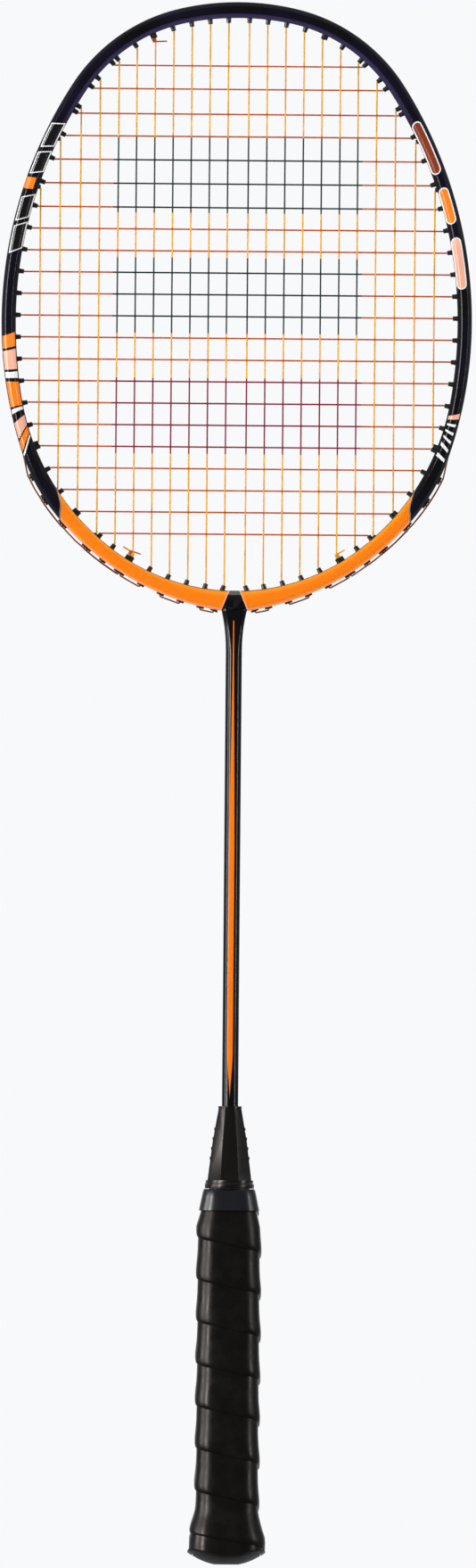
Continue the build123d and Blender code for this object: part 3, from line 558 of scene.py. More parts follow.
BLACK_LACQUER = (0.0018, 0.0017, 0.0026)
WARM = (1.0, 0.9, 0.84)
HOOP_PAINT = HoopPaint("hoop_lacquer", BLACK_LACQUER, 0.17, 0.05, 0.02)
SHAFT_PAINT = ShaftPaint("shaft_lacquer", BLACK_LACQUER, 0.16, 0.045, 0.06)
CONE_PLASTIC = Moulded("cone_moulding", (0.0022, 0.0018, 0.0017), 0.3, 0.07, 0.12, gleam=WARM)
CAP_PLASTIC = Moulded("butt_moulding", (0.0035, 0.0035, 0.0035), 0.5, 0.08, 0.2)
GROMMET_NYLON = Moulded("grommet_nylon", (0.0025, 0.0045, 0.004), 0.42, 0.12, 0.1)
HANDLE_WOOD = Wood("handle_ash", (0.62, 0.44, 0.26), 0.6, 0.3, 0.3)
GRIP_HIDE = GripHide("grip_leather", (0.0015, 0.0014, 0.0013), 0.33, 0.047, 0.45, 0.05 * MM, WARM)
TAPE_VINYL = Moulded("tape_vinyl", (0.003, 0.0034, 0.005), 0.33, 0.1, 0.15)
MAIN_NYLON = StringNylon("main_string_nylon", (0.92, 0.42, 0.003), 0.4, 0.04, 0.15)
CROSS_NYLON = StringNylon("cross_string_nylon", (0.56, 0.09, 0.006), 0.4, 0.04, 0.15)
MARK_ORANGE = Finish("mark_orange", HoopPaint.orange, 0.25, 0.15, 0.1)
MARK_WHITE = Finish("mark_white", (0.84, 0.84, 0.83), 0.3, 0.15, 0.1)
MARK_ROSE = Finish("mark_rose", (0.86, 0.42, 0.30), 0.3, 0.15, 0.1)
MARK_EMBER = Finish("mark_ember", (0.20, 0.028, 0.006), 0.28, 0.15, 0.1)
MARK_BLACK = Finish("mark_black", BLACK_LACQUER, 0.22, 0.1, 0.1)


# ---------------------------------------------------------------- mesh helpers
def show(obj: bpy.types.Object, finish: Finish, slot: Slot, *nodes: str) -> bpy.types.Object:
    """Dresses a finished piece and joins it to the frame.

    Args:
        obj: The piece, with its place in its mesh.
        finish: The finish that it gets where it has none yet.
        slot: Not used.
        nodes: CAD nodes that it stands for.

    Returns:
        The piece.
    """
    if not obj.data.materials:
        obj.data.materials.append(finish.material())
    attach(obj, BODY)
    if nodes:
        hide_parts(*nodes)
    LOG.info("piece %s: %d faces", obj.name, len(obj.data.polygons))
    return obj


def new_object(name: str, data: bpy.types.ID) -> bpy.types.Object:
    """Adds an object to the scene.

    Args:
        name: Its name.
        data: The mesh, light or camera that it holds.

    Returns:
        The new object.
    """
    obj = bpy.data.objects.new(name, data)
    bpy.context.scene.collection.objects.link(obj)
    return obj


def made_mesh(
    name: str, points: Sequence[object], edges: Sequence[object] = (),
    faces: Sequence[object] = (), numbers: dict[str, object] | None = None,
) -> bpy.types.Mesh:
    """Makes a mesh.

    Args:
        name: Its name.
        points: Its points.
        edges: Pairs of places in the list of points.
        faces: Loops of places in the list of points.
        numbers: Named values to keep on the points.

    Returns:
        The new mesh.
    """
    mesh = bpy.data.meshes.new(name)
    mesh.from_pydata(points, edges, faces)
    for label, values in (numbers or {}).items():
        attribute = mesh.attributes.new(label, "FLOAT", "POINT")
        attribute.data.foreach_set("value", np.array(values, np.float32).reshape(-1))
    return mesh


def loft_mesh(
    name: str, rings: Sequence[object], closed: bool = False,
    numbers: dict[str, Sequence[object]] | None = None,
) -> bpy.types.Object:
    """Makes a smooth skin over rings of points, each ring a closed loop.

    Args:
        name: The object's name.
        rings: Points, as rings by points by 3.
        closed: Whether the last ring joins the first, with no flat faces at the ends.
        numbers: Named values to keep on the points, each rings by points.

    Returns:
        The new object, with its faces outward.
    """
    points = np.array(rings)
    count, size, _ = points.shape
    faces = []
    for row in range(count if closed else count - 1):
        low, high = row * size, (row + 1) % count * size
        faces += [(low + i, low + (i + 1) % size, high + (i + 1) % size, high + i)
                  for i in range(size)]
    if not closed:
        faces.append(tuple(range(size))[::-1])
        faces.append(tuple(range((count - 1) * size, count * size)))
    mesh = made_mesh(name, points.reshape(-1, 3).tolist(), (), faces, numbers)
    outward(mesh)
    return new_object(name, mesh)


def outward(mesh: bpy.types.Mesh, crease: float = 38.0) -> None:
    """Turns a closed mesh's faces outward and shades them smooth by angle.

    Args:
        mesh: The mesh.
        crease: Degrees between two faces past which their edge stays sharp.
    """
    work = bmesh.new()
    work.from_mesh(mesh)
    bmesh.ops.recalc_face_normals(work, faces=work.faces)
    for face in work.faces:
        face.smooth = True
    for edge in work.edges:
        if len(edge.link_faces) == 2 and edge.calc_face_angle(0.0) > math.radians(crease):
            edge.smooth = False
    work.to_mesh(mesh)
    work.free()


def softened(
    node: str, name: str, width: float, angle: float = 28.0, floor: float | None = None
) -> bpy.types.Object:
    """Makes a copy of a CAD node with small rounds along its edges.

    Args:
        node: The CAD node.
        name: The new object's name.
        width: Width of the rounds.
        angle: Least angle, in degrees, of an edge that is rounded.
        floor: Height below which the copy is cut away, if any.

    Returns:
        The new object.
    """
    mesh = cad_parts[node].data.copy()
    mesh.materials.clear()
    work = bmesh.new()
    work.from_mesh(mesh)
    bmesh.ops.remove_doubles(work, verts=work.verts, dist=WELD)
    if floor is not None:
        cut = bmesh.ops.bisect_plane(
            work, geom=[*work.verts, *work.edges, *work.faces], plane_co=(0, 0, floor),
            plane_no=(0, 0, 1), clear_inner=True)
        rim = [item for item in cut["geom_cut"] if isinstance(item, bmesh.types.BMEdge)]
        bmesh.ops.contextual_create(work, geom=rim)
    bmesh.ops.dissolve_limit(
        work, angle_limit=math.radians(FLAT_ANGLE), verts=work.verts, edges=work.edges)
    for face in work.faces:
        face.smooth = True
    work.to_mesh(mesh)
    work.free()
    obj = new_object(name, mesh)
    rounds = obj.modifiers.new("rounds", "BEVEL")
    rounds.width = width
    rounds.segments = 3
    rounds.limit_method = "ANGLE"
    rounds.angle_limit = math.radians(angle)
    rounds.use_clamp_overlap = True
    rounds.harden_normals = True
    return applied(obj)


def applied(obj: bpy.types.Object) -> bpy.types.Object:
    """Turns an object's modifiers into plain mesh.

    Args:
        obj: The object.

    Returns:
        The same object.
    """
    bpy.context.view_layer.update()
    seen = obj.evaluated_get(bpy.context.evaluated_depsgraph_get())
    mesh = bpy.data.meshes.new_from_object(seen)
    obj.modifiers.clear()
    obj.data = mesh
    return obj


# ---------------------------------------------------------------- node geometry
class TreeKit:
    """Geometry Nodes trees, each built once and used by a modifier."""

    def __init__(self) -> None:
        """Builds the trees."""
        self.tube = self.make_tube()
        self.placed = self.make_placed()

    def keep(self, sheet: Sheet, name: str, geometry: object, value: object) -> object:
        """Stores a number on a geometry's points.

        Args:
            sheet: The tree's sheet.
            name: The number's name.
            geometry: The socket with the geometry.
            value: The socket with the number.

        Returns:
            The socket with the new geometry.
        """
        feeds = {"Geometry": geometry, "Name": name, "Value": value}
        return sheet.add("GeometryNodeStoreNamedAttribute", feeds, domain="POINT").outputs[0]

    def carried(self, sheet: Sheet, name: str, kind: str) -> object:
        """Returns the socket of a value that the points carry, by name and type."""
        node = sheet.add("GeometryNodeInputNamedAttribute", {"Name": name}, data_type=kind)
        return node.outputs["Attribute"]

    def make_tube(self) -> bpy.types.NodeTree:
        """Makes a round tube along a line of edges, each corner eased by its own radius.

        Returns:
            The tree.
        """
        inputs = {"Geometry": "Geometry", "Radius": 0.35 * MM, "Sides": 10, "Corner Steps": 4,
                  "Material": "Material"}
        sheet = NamedSheet("Geometry", "string_tube", inputs, "Geometry")
        given = sheet.given
        line = sheet.add("GeometryNodeMeshToCurve", {"Mesh": given["Geometry"]})
        fillet = sheet.add("GeometryNodeFilletCurve", {
            "Curve": line.outputs[0], "Radius": self.carried(sheet, "ease", "FLOAT"),
            "Count": given["Corner Steps"], "Limit Radius": True}, mode="POLY")
        length = sheet.add("GeometryNodeSplineParameter").outputs["Length"]
        share = sheet.add("GeometryNodeSplineParameter").outputs["Factor"]
        ring = sheet.add("GeometryNodeCurvePrimitiveCircle", {
            "Resolution": given["Sides"], "Radius": given["Radius"]}, mode="RADIUS")
        skin = sheet.add("GeometryNodeCurveToMesh", {
            "Curve": self.keep(sheet, "string_along", fillet.outputs[0], length),
            "Profile Curve": self.keep(sheet, "string_around", ring.outputs[0], share),
            "Fill Caps": True})
        return self.close(sheet, skin.outputs[0])

    def make_placed(self) -> bpy.types.NodeTree:
        """Makes copies of one part, turned and sized by what each point carries.

        Returns:
            The tree.
        """
        inputs = {"Geometry": "Geometry", "Part": "Object", "Material": "Material"}
        sheet = NamedSheet("Geometry", "placed_parts", inputs, "Geometry")
        given = sheet.given
        part = sheet.add("GeometryNodeObjectInfo", {"Object": given["Part"]})
        turn = self.carried(sheet, "turn", "FLOAT_VECTOR")
        copies = sheet.add("GeometryNodeInstanceOnPoints", {
            "Points": given["Geometry"], "Instance": part.outputs["Geometry"],
            "Rotation": sheet.add("FunctionNodeEulerToRotation", {0: turn}).outputs[0],
            "Scale": self.carried(sheet, "size", "FLOAT_VECTOR")})
        return self.close(sheet, copies.outputs[0])

    def close(self, sheet: NamedSheet, geometry: object) -> bpy.types.NodeTree:
        """Ends a tree with real geometry and its material.

        Args:
            sheet: The tree's sheet.
            geometry: The socket with the finished geometry.

        Returns:
            The tree.
        """
        real = sheet.add("GeometryNodeRealizeInstances", {0: geometry})
        dress = sheet.add("GeometryNodeSetMaterial", {
            "Geometry": real.outputs[0], "Material": sheet.given["Material"]})
        return sheet.give(Geometry=dress.outputs[0])

    def run(
        self, mesh: bpy.types.Mesh, tree: bpy.types.NodeTree, **values: object
    ) -> bpy.types.Object:
        """Runs a tree on a mesh and keeps the result as an object.

        Args:
            mesh: The mesh that carries the tree's points or lines.
            tree: The tree.
            values: Its inputs by name.

        Returns:
            The object, with the mesh's name.
        """
        obj = new_object(mesh.name, mesh)
        modifier = obj.modifiers.new(tree.name, "NODES")
        modifier.node_group = tree
        names = {s.name: s.identifier for s in tree.interface.items_tree if s.in_out == "INPUT"}
        for name, value in values.items():
            modifier[names[name]] = value
        applied(obj)
        outward(obj.data)
        return obj


TREES = TreeKit()


# ------------------------------------------------------------------------ hoop
@dataclass(frozen=True)
class Arc:
    """One arc of an outline's right half, between two headings in degrees."""

    cx: float
    cz: float
    radius: float
    end: float


def facing(heading: float) -> tuple[float, float]:
    """Returns the unit vector, as (x, z), of a heading in degrees from the crown."""
    return math.sin(math.radians(heading)), math.cos(math.radians(heading))


@dataclass(frozen=True)
class OutlineEnd:
    """The crown or foot end of an outline: its tip and its corner arc."""

    tip: float
    corner_radius: float
    corner_start: float
    corner_end: float
    slope: float = 0.0

    def radii(self, half_width: float, reach: float) -> tuple[float, float]:
        """Works out the arcs that join the corner arc tangentially.

        Args:
            half_width: Half of the outline's width.
            reach: Distance along the racket from the widest place to the tip.

        Returns:
            The radius of the tip arc and of the side arc.
        """
        s0, c0 = facing(self.slope)
        s1, c1 = facing(self.corner_start)
        s2, c2 = facing(self.corner_end)
        across = half_width - self.corner_radius * (s2 - s1)
        along = reach - self.corner_radius * (c1 - c2)
        share = (s1 - s0) * c2 - (1 - s2) * (c0 - c1)
        tip_radius = (across * c2 - along * (1 - s2)) / share
        side_radius = (along * (s1 - s0) - across * (c0 - c1)) / share
        return tip_radius, side_radius


class Outline:
    """An egg-shaped closed curve of tangent arcs, the same on both sides."""

    def __init__(self, width: float, widest: float, crown: OutlineEnd, foot: OutlineEnd) -> None:
        """Works out the arcs of the right half, from the crown to the foot.

        Args:
            width: The curve's greatest width.
            widest: Height of its widest place.
            crown: Its upper end.
            foot: Its lower end.
        """
        crown_tip, upper_side = crown.radii(width / 2, crown.tip - widest)
        foot_tip, lower_side = foot.radii(width / 2, widest - foot.tip)
        runs = [
            (crown_tip, 0.0, crown.corner_start),
            (crown.corner_radius, crown.corner_start, crown.corner_end),
            (upper_side, crown.corner_end, 90.0),
            (lower_side, 90.0, 180.0 - foot.corner_end),
            (foot.corner_radius, 180.0 - foot.corner_end, 180.0 - foot.corner_start),
            (foot_tip, 180.0 - foot.corner_start, 180.0 - foot.slope),
        ]
        self.arcs: list[Arc] = []
        x, z = 0.0, crown.tip
        for radius, start, end in runs:
            nx, nz = facing(start)
            arc = Arc(x - radius * nx, z - radius * nz, radius, end)
            self.arcs.append(arc)
            nx, nz = facing(end)
            x, z = arc.cx + radius * nx, arc.cz + radius * nz

    def point(self, heading: float, lift: float = 0.0) -> tuple[float, float]:
        """Returns the point (x, z) at a heading.

        Args:
            heading: Degrees from the crown, negative on the left half.
            lift: Distance outside the curve.

        Returns:
            The point's X and Z.
        """
        turn = abs(heading)
        arc = next((a for a in self.arcs if turn <= a.end), self.arcs[-1])
        nx, nz = facing(turn)
        side = -1 if heading < 0 else 1
        return side * (arc.cx + (arc.radius + lift) * nx), arc.cz + (arc.radius + lift) * nz


@dataclass
class Hoop:
    """The lacquered hoop, with its bevels, its groove and its paint."""

    width: float = 203.4 * MM
    widest: float = 536.7 * MM
    wall: float = 6.3 * MM
    outer_crown: OutlineEnd = OutlineEnd(675.0 * MM, 75.6 * MM, 13.2, 57.4)
    outer_foot: OutlineEnd = OutlineEnd(411.2 * MM, 87.0 * MM, 48.7, 71.5, 6.1)
    inner_crown: OutlineEnd = OutlineEnd(668.0 * MM, 68.4 * MM, 11.0, 56.9)
    inner_foot: OutlineEnd = OutlineEnd(420.7 * MM, 102.5 * MM, 35.9, 80.2)
    last_turn: float = 173.0          # heading past which nothing is measured
    throat_turn: float = 150.0        # heading from which the rings lean to the throat
    foot_turn: float = 185.0          # heading by which every line has met it
    halvings: int = 40
    depth: float = 10.6 * MM
    outer_bevel: tuple[float, float] = (1.6 * MM, 2.7 * MM)
    inner_bevel: tuple[float, float] = (1.9 * MM, 2.9 * MM)
    groove_half: float = 1.95 * MM
    groove_depth: float = 1.7 * MM
    groove_corner: float = 0.2 * MM
    groove_foot: float = 472.5 * MM
    groove_ramp: float = 1.5 * MM     # height over which it reaches its depth
    hub_top: float = 2.15 * MM
    hub_foot: float = 5.95 * MM
    round_reach: float = 0.62 * MM
    round_steps: int = 4
    half_steps: int = 170
    degree_steps: int = 10            # of the table of distances

    def __post_init__(self) -> None:
        """Works out both outlines and the distances along the outer one."""
        self.outer = Outline(self.width, self.widest, self.outer_crown, self.outer_foot)
        self.inner = Outline(
            self.width - 2 * self.wall, self.widest, self.inner_crown, self.inner_foot)
        count = int(self.degree_steps * self.last_turn)
        self.turns = np.linspace(0.0, self.last_turn, count + 1)
        points = np.array([self.outer.point(t) for t in self.turns])
        steps = np.hypot(*np.diff(points, axis=0).T)
        self.run = np.concatenate([[0.0], np.cumsum(steps)])

    def heading_at(self, distance: float) -> float:
        """Returns the heading at a distance from the crown along the outside."""
        turn = float(np.interp(abs(distance), self.run, self.turns))
        return math.copysign(turn, distance)

    def distance_at(self, height: float) -> float:
        """Returns the distance from the crown along the outside, at a height."""
        heights = np.array([self.outer.point(t)[1] for t in self.turns])
        return float(np.interp(-height, -heights, self.run))

    def line(self, side: Side, lift: float, heading: float) -> tuple[float, float]:
        """Returns the point of a lengthwise line at a heading.

        Args:
            side: The outline that the line is measured from.
            lift: Distance outside that outline.
            heading: Degrees from the crown.

        Returns:
            The point's X and Z.
        """
        curve = self.outer if side is Side.OUTER else self.inner
        return curve.point(heading, lift)

    def last_heading(self, side: Side, lift: float) -> float:
        """Finds by halving where a lengthwise line meets the throat piece.

        Args:
            side: The outline that the line is measured from.
            lift: Distance outside that outline.

        Returns:
            The heading, in degrees from the crown.
        """
        low, high = self.throat_turn, self.foot_turn
        foot, top = self.outer_foot.tip, self.inner_foot.tip
        lean = (self.hub_top - self.hub_foot) / (top - foot)
        for _ in range(self.halvings):
            middle = (low + high) / 2
            x, z = self.line(side, lift, middle)
            beyond = x < self.hub_foot + lean * (z - foot)
            low, high = (low, middle) if beyond else (middle, high)
        return (low + high) / 2

    def section(self) -> list[tuple[Side, float, float, bool]]:
        """Works out the section's points, with its corners rounded.

        Returns:
            For each point its outline, lift, depth and whether it is in the groove.
        """
        half = self.depth / 2
        (ow, od), (iw, idp) = self.outer_bevel, self.inner_bevel
        corners = [
            (Side.OUTER, 0.0, od - half, (0.0, 1.0), (-ow, -od)),
            (Side.OUTER, -ow, -half, (ow, od), (-1.0, 0.0)),
            (Side.INNER, iw, -half, (1.0, 0.0), (-iw, idp)),
            (Side.INNER, 0.0, idp - half, (iw, -idp), (0.0, 1.0)),
        ]
        front: list[tuple[Side, float, float, bool]] = []
        for side, lift, y, back, ahead in corners:
            a = np.array(back) / np.hypot(*back) * self.round_reach
            b = np.array(ahead) / np.hypot(*ahead) * self.round_reach
            for step in range(self.round_steps + 1):
                t = step / self.round_steps
                e, d = a * (1 - t) ** 2 + b * t**2
                front.append((side, lift + e, y + d, False))
        rear = [(side, lift, -y, sunk) for side, lift, y, sunk in reversed(front)]
        half_groove = self.groove_half
        lip = half_groove + self.groove_corner
        groove = [(Side.OUTER, 0.0, lip, False), (Side.OUTER, 0.0, half_groove, True),
                  (Side.OUTER, 0.0, -half_groove, True), (Side.OUTER, 0.0, -lip, False)]
        return front + rear + groove

    def rings(self) -> tuple[list, list, list]:
        """Works out the hoop's rings of points.

        Returns:
            The points, and for each one its distance from the foot and its
            place across the wall, 0 inside and 1 outside.
        """
        section = self.section()
        ends = {(side, lift): self.last_heading(side, lift) for side, lift, _, _ in section}
        distances = np.linspace(0.0, self.run[-1], self.half_steps + 1)
        base = np.interp(distances, self.run, self.turns)
        points, along, across = [], [], []
        for sign in (-1, 1):
            order = range(self.half_steps, 0, -1) if sign < 0 else range(self.half_steps + 1)
            for step in order:
                ring, row_along, row_across = [], [], []
                turned = (base[step] - self.throat_turn) / (base[-1] - self.throat_turn)
                for side, lift, y, sunk in section:
                    lean = ends[(side, lift)] - base[-1]
                    heading = base[step] + lean * max(0.0, turned)
                    sink = self.sink_at(heading) if sunk else 0.0
                    x, z = self.line(side, lift - sink, heading)
                    ring.append((sign * x, y, z))
                    row_along.append(self.run[-1] - distances[step])
                    row_across.append(self.share(side, lift, heading))
                points.append(ring)
                along.append(row_along)
                across.append(row_across)
        return points, along, across

    def sink_at(self, heading: float) -> float:
        """Returns the groove's depth at a heading: none near the foot."""
        _, z = self.outer.point(heading)
        return self.groove_depth * min(1.0, max(0.0, (z - self.groove_foot) / self.groove_ramp))

    def wall_at(self, heading: float) -> float:
        """Measures the hoop's wall.

        Args:
            heading: Degrees from the crown, negative on the left half.

        Returns:
            The distance from its inside to its outside.
        """
        nx, nz = facing(abs(heading))
        ox, oz = self.outer.point(abs(heading))
        ix, iz = self.inner.point(abs(heading))
        return (ox - ix) * nx + (oz - iz) * nz

    def share(self, side: Side, lift: float, heading: float) -> float:
        """Returns a line's place across the wall, 0 inside and 1 outside."""
        wall = self.wall_at(heading)
        return lift / wall if side is Side.INNER else 1 + lift / wall

    def front_depth(self, share: float, wall: float) -> float:
        """Measures how far the front stands from the middle plane.

        Args:
            share: Place across the wall, 0 inside and 1 outside.
            wall: The wall.

        Returns:
            The distance, less over the two bevels.
        """
        half = self.depth / 2
        (ow, od), (iw, idp) = self.outer_bevel, self.inner_bevel
        outside, inside = (1 - share) * wall, share * wall
        drop = max(od * (1 - outside / ow), idp * (1 - inside / iw), 0.0)
        return half - drop

    def surface(self, distance: float, share: float, lift: float) -> Point:
        """Returns a point just over the front of the hoop.

        Args:
            distance: From the crown along the outside, negative to the left.
            share: Across the wall, 0 inside and 1 outside.
            lift: Distance off the surface.

        Returns:
            The point.
        """
        heading = self.heading_at(distance)
        ox, oz = self.outer.point(heading)
        ix, iz = self.inner.point(heading)
        depth = self.front_depth(share, self.wall_at(heading))
        return ix + (ox - ix) * share, -depth - lift, iz + (oz - iz) * share

    def build(self) -> None:
        """Builds the lacquered hoop."""
        points, along, across = self.rings()
        hoop = loft_mesh("hoop", points, numbers={"along": along, "across": across})
        show(hoop, HOOP_PAINT, Slot.HOOP, "head_frame")


@dataclass(frozen=True)
class Mark:
    """A plain painted mark on one face of the hoop."""

    start: float                      # height of its upper end
    end: float                        # height of its lower end
    inside: float                     # its edges across the wall, 0 to 1
    outside: float
    finish: Finish
    left: bool = False
    slant: float = 0.0                # how far its outer edge runs ahead
    rounded: bool = False
    lift: float = 0.03 * MM


@dataclass
class HoopMarks:
    """Plain blocks, capsules and lines painted on both faces of the hoop.

    Each row of marks lists the heights of their ends, in millimetres. Edges lie across
    the wall: those of the outline, where there is one, then those of what lies on it.
    """

    hoop: Hoop
    columns: int = 28
    rows: int = 12
    under: float = 0.025 * MM         # lift of an outline
    over: float = 0.09 * MM           # and of what lies on it
    outline: float = 0.5 * MM
    end_reach: float = 0.004          # half width of a capsule's very end, across the wall
    capsules: tuple = ((626.0, 603.0, MARK_EMBER), (597.0, 581.0, MARK_ORANGE),
                       (575.0, 552.0, MARK_ROSE))
    capsule_edges: tuple = ((0.04, 0.74), (0.12, 0.66))
    frames: tuple = ((624.0, 613.5), (611.5, 602.0), (592.0, 581.5), (579.5, 567.5))
    frame_edges: tuple = ((0.05, 0.9), (0.12, 0.83))
    frame_slant: float = 4.0 * MM
    blocks: tuple = ((531.0, 525.5, MARK_ORANGE), (524.5, 516.5, MARK_ROSE),
                     (515.5, 513.0, MARK_WHITE), (511.5, 500.0, MARK_ORANGE),
                     (499.0, 497.0, MARK_WHITE), (493.0, 486.0, MARK_ROSE),
                     (485.0, 480.5, MARK_ORANGE), (479.5, 478.5, MARK_WHITE))
    block_edges: tuple = (0.08, 0.94)
    block_slant: float = 2.6 * MM
    bars: tuple = (492.0, 488.0, 484.0, 480.0, 476.0)
    bar_edges: tuple = (0.15, 0.8)
    bar_width: float = 1.3
    bar_slant: float = -2.4 * MM
    wedge: Mark = Mark(599.5 * MM, 594.5 * MM, 0.35, 0.97, MARK_ORANGE, True, 2.0 * MM)
    rose_bar: Mark = Mark(497.0 * MM, 494.5 * MM, 0.1, 0.9, MARK_ROSE, slant=bar_slant)

    def framed(
        self, ends: tuple[float, float], edges: tuple, finish: Finish, **shape: object
    ) -> Iterable[Mark]:
        """Lists the two marks of one with a white outline.

        Args:
            ends: Heights of the outline's ends, in millimetres.
            edges: The edges of the outline and of what lies on it.
            finish: The finish of what lies on it.
            shape: What both marks share, by name.

        Returns:
            The outline, then what lies on it.
        """
        top, foot = (height * MM for height in ends)
        line = self.outline
        outside, inset = edges
        return (Mark(top, foot, *outside, MARK_WHITE, lift=self.under, **shape),
                Mark(top - line, foot + line, *inset, finish, lift=self.over, **shape))

    def marks(self) -> Iterable[Mark]:
        """Lists the marks of one face.

        Returns:
            The marks, in the order of their numbers.
        """
        for *ends, finish in self.capsules:
            yield from self.framed(ends, self.capsule_edges, finish, rounded=True)
        for ends in self.frames:
            yield from self.framed(
                ends, self.frame_edges, MARK_BLACK, left=True, slant=self.frame_slant)
        yield self.wedge
        for top, foot, finish in self.blocks:
            yield Mark(top * MM, foot * MM, *self.block_edges, finish, True, self.block_slant)
        for top in self.bars:
            ends = top * MM, (top - self.bar_width) * MM
            yield Mark(*ends, *self.bar_edges, MARK_WHITE, slant=self.bar_slant)
        yield self.rose_bar

    def patch(self, mark: Mark, name: str, face: int) -> bpy.types.Object:
        """Builds one mark as a thin sheet that follows the hoop.

        Args:
            mark: The mark.
            name: The object's name.
            face: 1 for the front, or -1 for the back, half a turn round.

        Returns:
            The new object.
        """
        side = -1 if mark.left else 1
        first, last = (self.hoop.distance_at(z) for z in (mark.start, mark.end))
        middle, half = (first + last) / 2, (last - first) / 2
        centre, reach = (mark.inside + mark.outside) / 2, (mark.outside - mark.inside) / 2
        corner = reach * self.hoop.wall
        points = []
        for column in range(self.columns + 1):
            at = -math.cos(math.pi * column / self.columns) * half
            room = reach
            if mark.rounded:
                past = max(0.0, abs(at) - (half - corner)) / corner
                room = reach * math.sqrt(max(0.0, 1 - past * past)) + self.end_reach
            for row in range(self.rows + 1):
                share = centre + room * (2 * row / self.rows - 1)
                lead = mark.slant * (share - centre)
                x, y, z = self.hoop.surface(side * (middle + at + lead), share, mark.lift)
                points.append((face * x, face * y, z))
        width = self.rows + 1
        faces = [(c * width + r, c * width + r + 1, (c + 1) * width + r + 1, (c + 1) * width + r)
                 for c in range(self.columns) for r in range(self.rows)]
        if side > 0:
            faces = [f[::-1] for f in faces]
        mesh = made_mesh(name, points, (), faces)
        mesh.shade_smooth()
        return new_object(name, mesh)

    def build(self) -> None:
        """Builds every mark on both faces."""
        for face, label in ((1, "front"), (-1, "back")):
            for number, mark in enumerate(self.marks()):
                piece = self.patch(mark, f"hoop_mark_{label}_{number:02d}", face)
                show(piece, mark.finish, Slot.HOOP)


# --------------------------------------------------------------------- strings
class StringRoute:
    """The line that a CAD string follows, read from its own mesh."""

    corners = 4                       # of a CAD string's section

    def __init__(self, node: str) -> None:
        """Walks the string's mesh from one end, section by section.

        Args:
            node: The CAD node of the string.
        """
        work = bmesh.new()
        work.from_mesh(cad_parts[node].data)
        bmesh.ops.remove_doubles(work, verts=work.verts, dist=WELD)
        first = min(work.verts, key=lambda v: len(v.link_edges))
        ring = sorted(work.verts, key=lambda v: (v.co - first.co).length)[:self.corners]
        seen = set(ring)
        self.points: list[Vector] = []
        while ring:
            self.points.append(sum((v.co for v in ring), Vector()) / len(ring))
            linked = [e.other_vert(v) for v in ring for e in v.link_edges]
            ring = list(dict.fromkeys(v for v in linked if v not in seen))
            seen.update(ring)
        work.free()


@dataclass
class Bend:
    """One end of a string's run over the bed: where it enters a hole."""

    mouth: Vector
    exit: Vector

    def way(self) -> Vector:
        """Returns the unit direction out through the hole."""
        return (self.exit - self.mouth).normalized()


